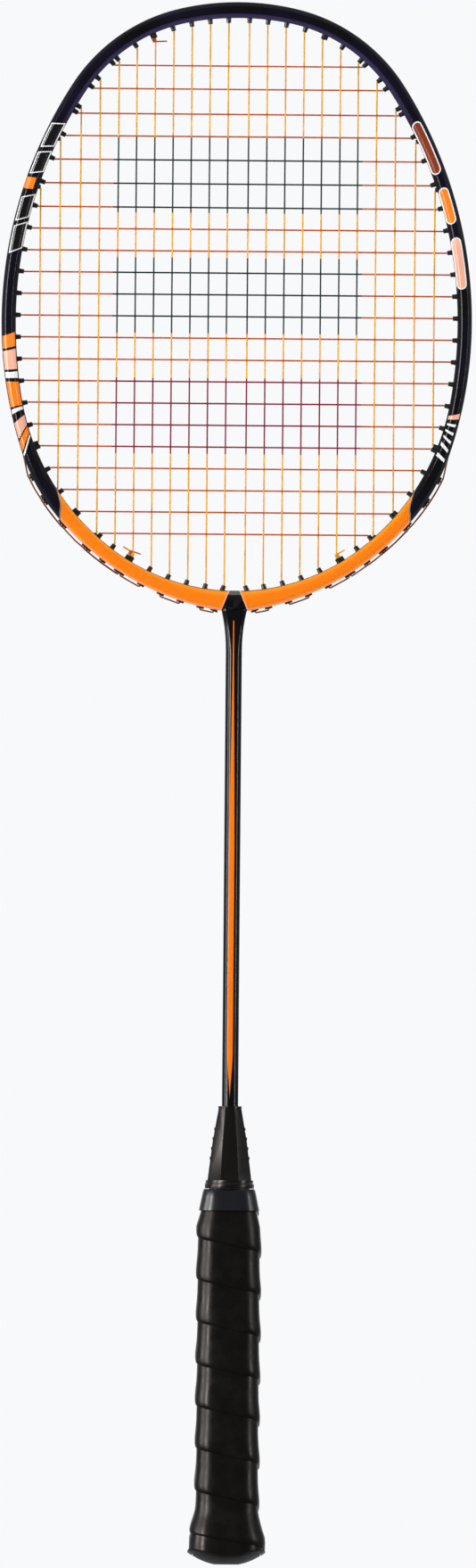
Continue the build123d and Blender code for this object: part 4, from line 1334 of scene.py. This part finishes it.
@dataclass
class StringBed:
    """The two strings, woven over and under each other, and their grommets."""

    radius: float = 0.35 * MM
    weave: float = 0.37 * MM          # from the bed's plane to a string at a crossing
    weave_ease: float = 16.0 * MM
    corner_ease: float = 0.7 * MM
    least_run: float = 50.0 * MM
    least_depth: float = 0.5 * MM     # a main's ends lie this far off the bed's plane
    level: float = 0.03 * MM          # a cross rises by less than this
    clear_of_mouth: float = 2.2 * MM  # no weave point lies closer to a hole
    barrel_bore: float = 0.5 * MM
    barrel_radius: float = 1.0 * MM
    barrel_flare: float = 0.12 * MM
    barrel_length: float = 3.4 * MM
    barrel_start: float = 0.15 * MM
    barrel_sides: int = 14
    loop_gap: float = 0.56 * MM       # from a grommet's outer end to the string's line
    flange: Point = (3.4 * MM, 3.6 * MM, 1.0 * MM)
    flange_round: float = 0.12        # as a share of its size
    end: Point = (2.3 * MM, 2.3 * MM, 1.3 * MM)
    groove_foot: float = 472.5 * MM
    bends: list[Bend] = field(default_factory=list)
    hidden: set[tuple[float, float]] = field(default_factory=set)

    def main_runs(self, points: Sequence[Vector]) -> list[tuple[int, int]]:
        """Finds the mains in the main string's line.

        Args:
            points: The line.

        Returns:
            For each main, the places of its two bends in the line.
        """
        found = []
        for i in range(1, len(points) - 2):
            a, b = points[i], points[i + 1]
            aside = abs(a.y) > self.least_depth and a.y * b.y > 0
            if aside and abs(a.z - b.z) > self.least_run:
                found.append((i - 1, i + 2))
        return found

    def cross_runs(self, points: Sequence[Vector]) -> list[tuple[int, int]]:
        """Finds the crosses in the cross string's line.

        Args:
            points: The line.

        Returns:
            For each cross, the places of its two bends in the line.
        """
        found, i = [], 0
        while i < len(points) - 1:
            j = i
            while j + 1 < len(points) and abs(points[j + 1].z - points[i].z) < self.level:
                j += 1
            if abs(points[j].x - points[i].x) > self.least_run:
                found.append((i, j))
            i = max(j, i + 1)
        return found

    def woven(
        self, points: Sequence[Vector], runs: Sequence[tuple[int, int]],
        crossings: Callable[[int], list[Vector]],
    ) -> list[tuple[Vector, float]]:
        """Replaces each run over the bed by its weave.

        Args:
            points: The string's line.
            runs: The places of each run's two bends.
            crossings: Gives the points at which a run, by number, meets others.

        Returns:
            The new line: each point with the radius that eases its corner.
        """
        line, at = [], 0
        self.hidden = {(p.x, p.z) for p in points}
        for first, last in runs:
            self.hidden -= {(p.x, p.z) for p in points[first:last + 1]}
        for number, (first, last) in enumerate(runs):
            line += [(p, self.corner_ease) for p in points[at:first + 1]]
            met = crossings(number)
            start, end = points[first], points[last]
            met.sort(key=lambda p: (p - start).dot(end - start))
            for p in met:
                if min((p - start).length, (p - end).length) > self.clear_of_mouth:
                    line.append((p, self.weave_ease))
            at = last
            self.bends += [Bend(start, points[first - 1]), Bend(end, points[last + 1])]
        return line + [(p, self.corner_ease) for p in points[at:]]

    def tube(
        self, name: str, line: Sequence[tuple[Vector, float]], finish: Finish, slot: Slot,
        node: str,
    ) -> None:
        """Builds one string as a round tube.

        Args:
            name: The object's name.
            line: The string's line, with the ease of each corner.
            finish: Its finish.
            slot: Passed on to show.
            node: The CAD node that it stands for.
        """
        edges = [(i, i + 1) for i in range(len(line) - 1)]
        mesh = made_mesh(name, [p for p, _ in line], edges, numbers={
            "ease": [ease for _, ease in line],
            "outside": [float((p.x, p.z) in self.hidden) for p, _ in line]})
        tube = TREES.run(mesh, TREES.tube, Radius=self.radius, Material=finish.material())
        show(tube, finish, slot, node)

    def build(self) -> None:
        """Builds both strings, then their grommets."""
        mains, crosses = StringRoute("main_string").points, StringRoute("cross_string").points
        main_runs, cross_runs = self.main_runs(mains), self.cross_runs(crosses)
        LOG.info("mains %d, crosses %d", len(main_runs), len(cross_runs))
        columns = sorted(range(len(main_runs)), key=lambda n: mains[main_runs[n][0]].x)
        rank = {number: place for place, number in enumerate(columns)}
        rows = sorted(range(len(cross_runs)), key=lambda n: -crosses[cross_runs[n][0]].z)
        level = {number: place for place, number in enumerate(rows)}

        def meeting(main: int, cross: int) -> tuple[float, float] | None:
            """Works out where a main meets a cross.

            Args:
                main: The main's number.
                cross: The cross's number.

            Returns:
                The X and Z, or None where they don't meet.
            """
            a, b = (mains[i] for i in main_runs[main])
            c, d = (crosses[i] for i in cross_runs[cross])
            share = (c.z - a.z) / (b.z - a.z)
            x = a.x + share * (b.x - a.x)
            inside = 0 < share < 1 and min(c.x, d.x) < x < max(c.x, d.x)
            return (x, c.z) if inside else None

        def sign(main: int, cross: int) -> int:
            """Returns on which side of the cross the main passes."""
            return 1 if (rank[main] + level[cross]) % 2 == 0 else -1

        def on_main(main: int) -> list[Vector]:
            """Lists a main's weave points."""
            met = ((meeting(main, c), sign(main, c)) for c in range(len(cross_runs)))
            return [Vector((p[0], s * self.weave, p[1])) for p, s in met if p]

        def on_cross(cross: int) -> list[Vector]:
            """Lists a cross's weave points."""
            met = ((meeting(m, cross), sign(m, cross)) for m in range(len(main_runs)))
            return [Vector((p[0], -s * self.weave, p[1])) for p, s in met if p]

        main_line = self.woven(mains, main_runs, on_main)
        self.tube("main_strings", main_line, MAIN_NYLON, Slot.MAIN_STRING, "main_string")
        cross_line = self.woven(crosses, cross_runs, on_cross)
        self.tube("cross_strings", cross_line, CROSS_NYLON, Slot.CROSS_STRING, "cross_string")
        self.build_grommets()

    def barrel_part(self) -> bpy.types.Object:
        """Makes one grommet barrel: a short tube with a rounded mouth.

        Returns:
            The part, with its mouth at z = 0.
        """
        bore, rim, length = self.barrel_bore, self.barrel_radius, self.barrel_length
        wide = rim + self.barrel_flare
        profile = [(bore, length), (bore, 0.25 * MM), (bore + 0.08 * MM, 0.0),
                   (rim - 0.2 * MM, 0.0), (rim, 0.2 * MM), (rim, 1.1 * MM), (wide, 1.7 * MM),
                   (wide, length)]
        angles = [TURN * k / self.barrel_sides for k in range(self.barrel_sides)]
        rings = [[(r * math.cos(t), r * math.sin(t), z) for r, z in profile] for t in angles]
        return loft_mesh("barrel_part", rings, closed=True)

    def flange_part(self) -> bpy.types.Object:
        """Makes one flange of unit size, with rounded edges.

        Returns:
            The part, with its top at z = 0.
        """
        work = bmesh.new()
        bmesh.ops.create_cube(work, size=1.0)
        bmesh.ops.translate(work, verts=work.verts, vec=(0, 0, -0.5))
        bmesh.ops.bevel(
            work, geom=list(work.edges), offset=self.flange_round, segments=2,
            affect="EDGES", profile=0.5)
        mesh = bpy.data.meshes.new("flange_part")
        work.to_mesh(mesh)
        work.free()
        return new_object("flange_part", mesh)

    def place(
        self, name: str, part: bpy.types.Object,
        spots: Sequence[tuple[Vector, Vector, Point]], *nodes: str,
    ) -> None:
        """Puts copies of a part at spots, each facing its own way.

        Args:
            name: The object's name.
            part: The part, facing +Z.
            spots: For each copy its place, its facing and its size.
            nodes: CAD nodes that the copies stand for.
        """
        mesh = made_mesh(name, [place for place, _, _ in spots])
        turn = mesh.attributes.new("turn", "FLOAT_VECTOR", "POINT")
        size = mesh.attributes.new("size", "FLOAT_VECTOR", "POINT")
        for index, (_, way, scale) in enumerate(spots):
            depth = Vector((0.0, 1.0, 0.0))
            axes = Matrix((depth.cross(way), depth, way)).transposed()
            turn.data[index].vector = axes.to_euler()
            size.data[index].vector = scale
        copies = TREES.run(mesh, TREES.placed, Part=part, Material=GROMMET_NYLON.material())
        show(copies, GROMMET_NYLON, Slot.GROMMETS, *nodes)
        bpy.data.objects.remove(part)

    def build_grommets(self) -> None:
        """Builds the barrels at every hole, the flanges at the foot and the other ends."""
        full = (1.0, 1.0, 1.0)
        mouths, flanges, ends = [], [], []
        for bend in self.bends:
            way = bend.way()
            mouths.append((bend.mouth + way * self.barrel_start, way, full))
            outer = bend.exit - way * self.loop_gap
            if bend.exit.z < self.groove_foot:
                flanges.append((outer, way, self.flange))
            else:
                ends.append((outer, way, self.end))
        self.place("grommet_barrels", self.barrel_part(), mouths, "crown_grommets",
                   "foot_grommets", "left_grommets", "right_grommets", "twin_grommets")
        self.place("grommet_flanges", self.flange_part(), flanges)
        self.place("grommet_ends", self.flange_part(), ends)


@dataclass
class Knots:
    """The tied-off ends of the strings: two turns drawn tight, and a cut tail."""

    radius: float = 0.34 * MM
    turn_radius: float = 0.62 * MM
    turn_rise: float = 0.58 * MM
    turns: float = 2.6
    stand_off: float = 0.7 * MM
    steps: int = 14                   # a turn
    tail: float = 4.6 * MM
    tail_steps: int = 7
    droop: float = 0.9 * MM
    main_tails: tuple[Point, Point] = ((0.86, 0.0, 0.5), (-0.86, 0.0, 0.5))
    cross_tails: tuple[Point, Point] = ((1.0, 0.0, 0.04), (0.93, 0.0, -0.3))

    def line(self, start: Vector, way: Vector, tail_way: Vector) -> list[Vector]:
        """Works out a knot's line: a short coil, then the tail.

        Args:
            start: Where the string comes out of its hole.
            way: The direction back into the hole.
            tail_way: The direction of the tail.

        Returns:
            The line's points.
        """
        across = way.cross(Vector((0.0, 1.0, 0.0))).normalized()
        depth = way.cross(across)
        count = int(self.turns * self.steps)
        points = []
        for step in range(count + 1):
            angle = TURN * step / self.steps
            rise = self.turn_rise * step / self.steps
            ring = across * math.cos(angle) + depth * math.sin(angle)
            points.append(start - way * (rise + self.stand_off) + ring * self.turn_radius)
        loose = points[-1]
        for step in range(1, self.tail_steps + 1):
            share = step / self.tail_steps
            drop = Vector((0.0, -1.0, 0.0)) * self.droop * share * share
            points.append(loose + tail_way * self.tail * share + drop)
        return points

    def build(self) -> None:
        """Builds the two knots of each string."""
        strings = ((MAIN_NYLON, Slot.MAIN_STRING, self.main_tails),
                   (CROSS_NYLON, Slot.CROSS_STRING, self.cross_tails))
        for finish, slot, tails in strings:
            node = slot.value
            route = StringRoute(node).points
            ends = ((route[0], route[1]), (route[-1], route[-2]))
            lines = [self.line(a, (b - a).normalized(), Vector(tail).normalized())
                     for (a, b), tail in zip(ends, tails)]
            points = [p for line in lines for p in line]
            last = len(lines[0]) - 1
            edges = [(i, i + 1) for i in range(len(points) - 1) if i != last]
            flat = {"ease": [0.0] * len(points)}
            mesh = made_mesh(f"{node}_ties", points, edges, numbers=flat)
            ties = TREES.run(
                mesh, TREES.tube, Radius=self.radius, Sides=8, Material=finish.material())
            show(ties, finish, slot, f"{node}_knots")


# ---------------------------------------------------------------------- handle
@dataclass
class Handle:
    """The wound grip, its finishing tape and the cap at the butt."""

    width: float = 24.0 * MM
    flatness: float = 2.8 * MM
    butt_width: float = 29.4 * MM
    butt_height: float = 12.0 * MM
    flare_height: float = 23.5 * MM
    taper_height: float = 146.0 * MM
    top_height: float = 162.4 * MM
    top_width: float = 17.4 * MM
    pitch: float = 18.24 * MM
    seam_height: float = 24.3 * MM
    turns: int = 9
    lap: float = 2.08 * MM            # thickness that the strip's section is a share of
    underside: float = 0.2            # share of it that lies below the strip's edge
    dent: float = 0.07 * MM
    dent_rates: Point = (13.7, 4.0, 3.1)  # of a turn, of the way up the strip, of a turn
    dent_start: float = 1.0
    waves: tuple = ((0.10 * MM, 2.3), (0.06 * MM, 7.1))  # reach and rate of its wobble
    grip_top: float = 160.6 * MM
    top_round: float = 0.2 * MM
    cap_rim: float = 0.25 * MM        # how far the strip's edge laps the dome
    dome_radius: float = 27.0 * MM
    land_drop: float = 0.5 * MM
    samples: int = 96                 # a turn
    tape_foot: float = 152.8 * MM
    tape_top: float = 162.2 * MM
    bevel: float = 1.6303             # reach of its bevels, 2 where it has none
    corner_power: float = 14.0        # how sharp its corners are

    def half_size(self, height: float) -> tuple[float, float]:
        """Works out the handle's size, without its grip.

        Args:
            height: The height.

        Returns:
            Half of its width, and half of its depth.
        """
        stations = [self.butt_height, self.flare_height, self.taper_height, self.top_height]
        widths = [self.butt_width, self.width, self.width, self.top_width]
        width = float(np.interp(height, stations, widths))
        return width / 2, (width - self.flatness) / 2

    def girth(self, share: float) -> tuple[float, float]:
        """Returns the unit shape of the handle at a share of a turn round it.

        Args:
            share: 0 to 1, from the +X side towards +Y.

        Returns:
            X and Y, each as a share of the half width and half depth.
        """
        cx, cy = math.cos(TURN * share), math.sin(TURN * share)
        reaches = (abs(cx), abs(cy), (abs(cx) + abs(cy)) / self.bevel)
        size = sum(reach**self.corner_power for reach in reaches) ** (-1 / self.corner_power)
        return cx * size, cy * size

    def skin(self, share: float, height: float, grow: float) -> tuple[float, float]:
        """Works out a point round the handle.

        Args:
            share: Share of a turn, from the +X side towards +Y.
            height: The height.
            grow: Thickness over the wood.

        Returns:
            The point's X and Y.
        """
        half_width, half_depth = self.half_size(height)
        ux, uy = self.girth(share)
        return ux * (half_width + grow), uy * (half_depth + grow)

    def strip_section(self) -> list[tuple[float, float, float]]:
        """Lists the points of the strip's section, from its lapping edge up and back.

        Returns:
            For each its share of a turn's rise, its thickness and its place in the lap.
        """
        outside = [
            (0.0, 0.25, 0.0), (-0.014, 0.62, 0.02), (-0.004, 0.86, 0.06), (0.022, 0.99, 0.12),
            (0.07, 1.06, 0.2), (0.15, 1.07, 0.34), (0.27, 0.98, 0.55), (0.42, 0.84, 0.8),
            (0.6, 0.73, 0.95), (0.8, 0.68, 1.0), (1.05, 0.64, 1.0)]
        return outside + [(1.05, 0.1, 1.0), (0.5, 0.1, 1.0), (0.0, 0.1, 0.0)]

    def dome(self, x: float, y: float) -> float:
        """Returns the height of the butt's domed end at a place."""
        fall = math.sqrt(max(0.0, self.dome_radius**2 - math.hypot(x, y) ** 2))
        return self.dome_radius - self.land_drop - fall

    def build_grip(self) -> None:
        """Builds the wound strip, trimmed to the butt's dome and under the tape."""
        section = self.strip_section()
        fast, rise, slow = self.dent_rates
        first = self.seam_height + (self.turns - 1) * self.pitch
        rings, laps = [], []
        for step in range((self.turns + 2) * self.samples + 1):
            turn = step / self.samples
            wave = sum(reach * math.sin(rate * turn) for reach, rate in self.waves)
            ring = []
            for share, thick, _ in section:
                z = first - self.pitch * (turn - share) + wave * (1 - share)
                dent = math.sin(fast * turn + rise * share)
                dent *= math.sin(slow * turn + self.dent_start)
                grow = self.lap * thick - self.dent * thick * (1 + dent)
                x, y = self.skin(turn % 1.0, z, grow)
                z = min(z, self.grip_top - self.top_round * (1 - thick))
                rim = self.cap_rim if thick > self.underside else 0.0
                ring.append((x, y, max(z, self.dome(x, y) - rim)))
            rings.append(ring)
            laps.append([lap for _, _, lap in section])
        grip = loft_mesh("grip", rings, numbers={"lap": laps})
        show(grip, GRIP_HIDE, Slot.GRIP, "grip_wrap")

    def build_tape(self) -> None:
        """Builds the smooth band over the top end of the grip."""
        low, high = self.tape_foot, self.tape_top
        outer = [(low, 2.1), (low + 0.1 * MM, 2.42), (low + 0.5 * MM, 2.5), (low + 3 * MM, 2.5),
                 (low + 6 * MM, 2.5), (high - 0.5 * MM, 2.46), (high, 2.2)]
        section = outer + [(high, 0.3), (low, 0.3)]  # thickness over the wood, in millimetres
        rings = [[(*self.skin(k / self.samples, z, grow * MM), z) for z, grow in section]
                 for k in range(self.samples)]
        tape = loft_mesh("tape_band", rings, closed=True)
        show(tape, TAPE_VINYL, Slot.TAPE, "finishing_tape")

    def build(self) -> None:
        """Builds the grip, the tape and the cap."""
        self.build_grip()
        self.build_tape()
        cap = softened("butt_cap", "butt_plug", 0.1 * MM)
        show(cap, CAP_PLASTIC, Slot.CAP, "butt_cap")


@dataclass
class Stem:
    """The cone, the throat piece and the neck between the handle and the hoop."""

    neck_top: float = 412.35 * MM
    neck_foot: float = 392.9 * MM
    shaft_radius: float = 3.55 * MM
    flare: tuple[float, float] = (5.66 * MM, 4.8 * MM)
    root: Point = (3.6 * MM, 5.05 * MM, 4.1 * MM)  # width, depth and rise into the throat
    throat_foot: float = 412.2 * MM
    round_power: float = 2.0          # of a round section
    top_power: float = 4.2            # of the neck's squarer top
    square_rate: float = 1.5          # how fast it turns square
    flare_rate: float = 2.3           # and how fast it widens
    rings: int = 30
    sides: int = 48

    def neck(self) -> bpy.types.Object:
        """Makes the neck, which runs from a rounded oblong into the round shaft.

        Returns:
            The new object.
        """
        sizes = [(*self.root[:2], self.top_power, self.neck_top + self.root[2])]
        squarer = self.top_power - self.round_power
        for step in range(self.rings + 1):
            share = 1 - step / self.rings
            half_width, half_depth = (
                self.shaft_radius + (wide - self.shaft_radius) * share**self.flare_rate
                for wide in self.flare)
            z = self.neck_foot + (self.neck_top - self.neck_foot) * share
            power = self.round_power + squarer * share**self.square_rate
            sizes.append((half_width, half_depth, power, z))
        rows = []
        for half_width, half_depth, power, z in sizes:
            row = []
            for side in range(self.sides):
                angle = TURN * side / self.sides
                cx, cy = math.cos(angle), math.sin(angle)
                size = (abs(cx) ** power + abs(cy) ** power) ** (-1 / power)
                row.append((cx * size * half_width, cy * size * half_depth, z))
            rows.append(row)
        return loft_mesh("neck", rows)

    def build(self) -> None:
        """Builds the cone, the throat piece and the neck."""
        cone = softened("cone_cap", "cone", 0.28 * MM, 20.0)
        show(cone, CONE_PLASTIC, Slot.CONE, "cone_cap")
        throat = softened("throat_joint", "throat", 0.4 * MM, 24.0, floor=self.throat_foot)
        show(throat, SHAFT_PAINT, Slot.THROAT, "throat_joint")
        show(self.neck(), SHAFT_PAINT, Slot.THROAT)


class CarriedNodes:
    """CAD nodes that stay as they are and only get a better finish."""

    finishes = {
        "shaft": SHAFT_PAINT,
        "handle_core": HANDLE_WOOD,
        "tie_off_grommets": GROMMET_NYLON,
    }

    def build(self) -> None:
        """Puts each finish in its node's material slots."""
        for node, finish in self.finishes.items():
            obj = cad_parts[node]
            if not obj.material_slots:
                obj.data.materials.append(finish.material())
            for place in obj.material_slots:
                place.material = finish.material()
            LOG.info("node %s: %s", node, finish.name)


# ---------------------------------------------------------------------- studio
@dataclass(frozen=True)
class Lamp:
    """A soft rectangular light, or one that is seen only in glossy surfaces."""

    name: str
    place: Point
    size: tuple[float, float]         # width and height
    power: float                      # watts
    gleam: bool = False

    def build(self, target: Vector) -> None:
        """Adds the light.

        Args:
            target: The point that it faces.
        """
        data = bpy.data.lights.new(self.name, "AREA")
        data.shape = "RECTANGLE"
        data.size, data.size_y = self.size
        data.energy = self.power
        lamp = new_object(self.name, data)
        lamp.location = self.place
        towards = target - Vector(self.place)
        lamp.rotation_euler = towards.to_track_quat("-Z", "Y").to_euler()
        lamp.visible_diffuse = not self.gleam


@dataclass
class Studio:
    """The pale floor and surround, soft lights and the camera."""

    backdrop: Colour = (0.94, 0.947, 0.964)
    ambient: float = 0.5
    floor_reach: float = 40.0
    floor_glow: float = 0.88          # share of the backdrop's own light in the floor
    view_height: float = 677.3 * MM
    centre: Point = (2.25 * MM, 0.0, 337.2 * MM)
    lean: float = 0.49
    camera_distance: float = 3.0
    camera_reach: float = 150.0
    lit_height: float = 0.34
    lamps: tuple[Lamp, ...] = (
        Lamp("left_strip", (-1.5, -0.7, 0.6), (0.35, 1.6), 17.0),
        Lamp("right_strip", (1.5, -0.5, 0.6), (0.5, 1.6), 8.0),
        Lamp("overhead", (0.0, -0.4, 2.0), (1.4, 1.0), 10.0),
        Lamp("rear", (0.3, 1.6, 0.9), (1.0, 1.4), 9.0),
        Lamp("left_gleam", (-1.22, -1.06, 0.42), (0.2, 1.3), 150.0, True),
        Lamp("left_rim", (-1.6, -0.3, 0.42), (0.3, 1.3), 75.0, True),
        Lamp("right_gleam", (1.45, -0.62, 0.42), (0.08, 1.3), 40.0, True),
    )

    def seen(self, sheet: Sheet, *rays: str) -> bpy.types.NodeSocket:
        """Finds the mask of what the camera and reflections see.

        Args:
            sheet: The node tree that it is for.
            rays: Other kinds of ray to add to it.

        Returns:
            The mask, 0 or 1.
        """
        path = sheet.add("ShaderNodeLightPath").outputs
        mask = sheet.math("MAXIMUM", path["Is Camera Ray"], path["Is Glossy Ray"])
        for ray in rays:
            mask = sheet.math("MAXIMUM", mask, path[ray])
        return mask

    def build_world(self) -> None:
        """Makes the surround: pale to the eye and in reflections, softer as light."""
        world = bpy.data.worlds.new("studio")
        bpy.context.scene.world = world
        world.use_nodes = True
        nodes, sheet = world.node_tree.nodes, Sheet(world.node_tree)
        light = nodes["Background"]
        sheet.feed_all(light.inputs, {"Color": (1.0, 1.0, 1.0), "Strength": self.ambient})
        pale = sheet.add("ShaderNodeBackground", {"Color": self.backdrop})
        mask = self.seen(sheet, "Is Transmission Ray")
        mix = sheet.add("ShaderNodeMixShader", {0: mask, 1: light.outputs[0], 2: pale.outputs[0]})
        sheet.feed(nodes["World Output"].inputs[0], mix.outputs[0])

    def build_floor(self) -> None:
        """Makes the pale floor that the racket's butt stands on."""
        reach = self.floor_reach
        corners = [(-reach, -reach, 0), (reach, -reach, 0), (reach, reach, 0), (-reach, reach, 0)]
        mesh = made_mesh("floor", corners, (), [(0, 1, 2, 3)])
        floor = new_object("floor", mesh)
        material = bpy.data.materials.new("studio_floor")
        material.use_nodes = True
        nodes, sheet = material.node_tree.nodes, Sheet(material.node_tree)
        shader = nodes["Principled BSDF"]
        sheet.feed_all(shader.inputs, {
            "Base Color": self.backdrop, "Roughness": 1.0, "Specular IOR Level": 0.0})
        glow = sheet.add("ShaderNodeEmission", {"Color": self.backdrop})
        mask = sheet.times(self.seen(sheet), self.floor_glow)
        mix = sheet.add("ShaderNodeMixShader", {0: mask, 1: shader.outputs[0], 2: glow.outputs[0]})
        sheet.feed(nodes["Material Output"].inputs[0], mix.outputs[0])
        mesh.materials.append(material)

    def build_camera(self) -> None:
        """Adds the camera, level with the racket and square to its strings."""
        data = bpy.data.cameras.new("camera")
        data.type = "ORTHO"
        data.ortho_scale = self.view_height
        data.clip_end = self.camera_reach
        camera = new_object("camera", data)
        angle = math.radians(self.lean)
        right = Vector((math.cos(angle), 0.0, math.sin(angle)))
        up = Vector((-math.sin(angle), 0.0, math.cos(angle)))
        back = right.cross(up)
        turn = Matrix((right, up, back)).transposed().to_4x4()
        place = Vector(self.centre) + back * self.camera_distance
        camera.matrix_world = Matrix.Translation(place) @ turn
        bpy.context.scene.camera = camera

    def build(self) -> None:
        """Builds the surround, floor, lights and camera."""
        self.build_world()
        self.build_floor()
        for lamp in self.lamps:
            lamp.build(Vector((0.0, 0.0, self.lit_height)))
        self.build_camera()
        bpy.context.scene.view_settings.view_transform = "Standard"


def main() -> None:
    """Builds the racket's looks round its frame, piece by piece."""
    logging.basicConfig(level=logging.INFO, format="%(name)s: %(message)s")
    Studio().build()
    CarriedNodes().build()
    hoop = Hoop()
    hoop.build()
    HoopMarks(hoop).build()
    StringBed().build()
    Knots().build()
    Handle().build()
    Stem().build()
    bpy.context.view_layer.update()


if __name__ == "__main__":
    main()
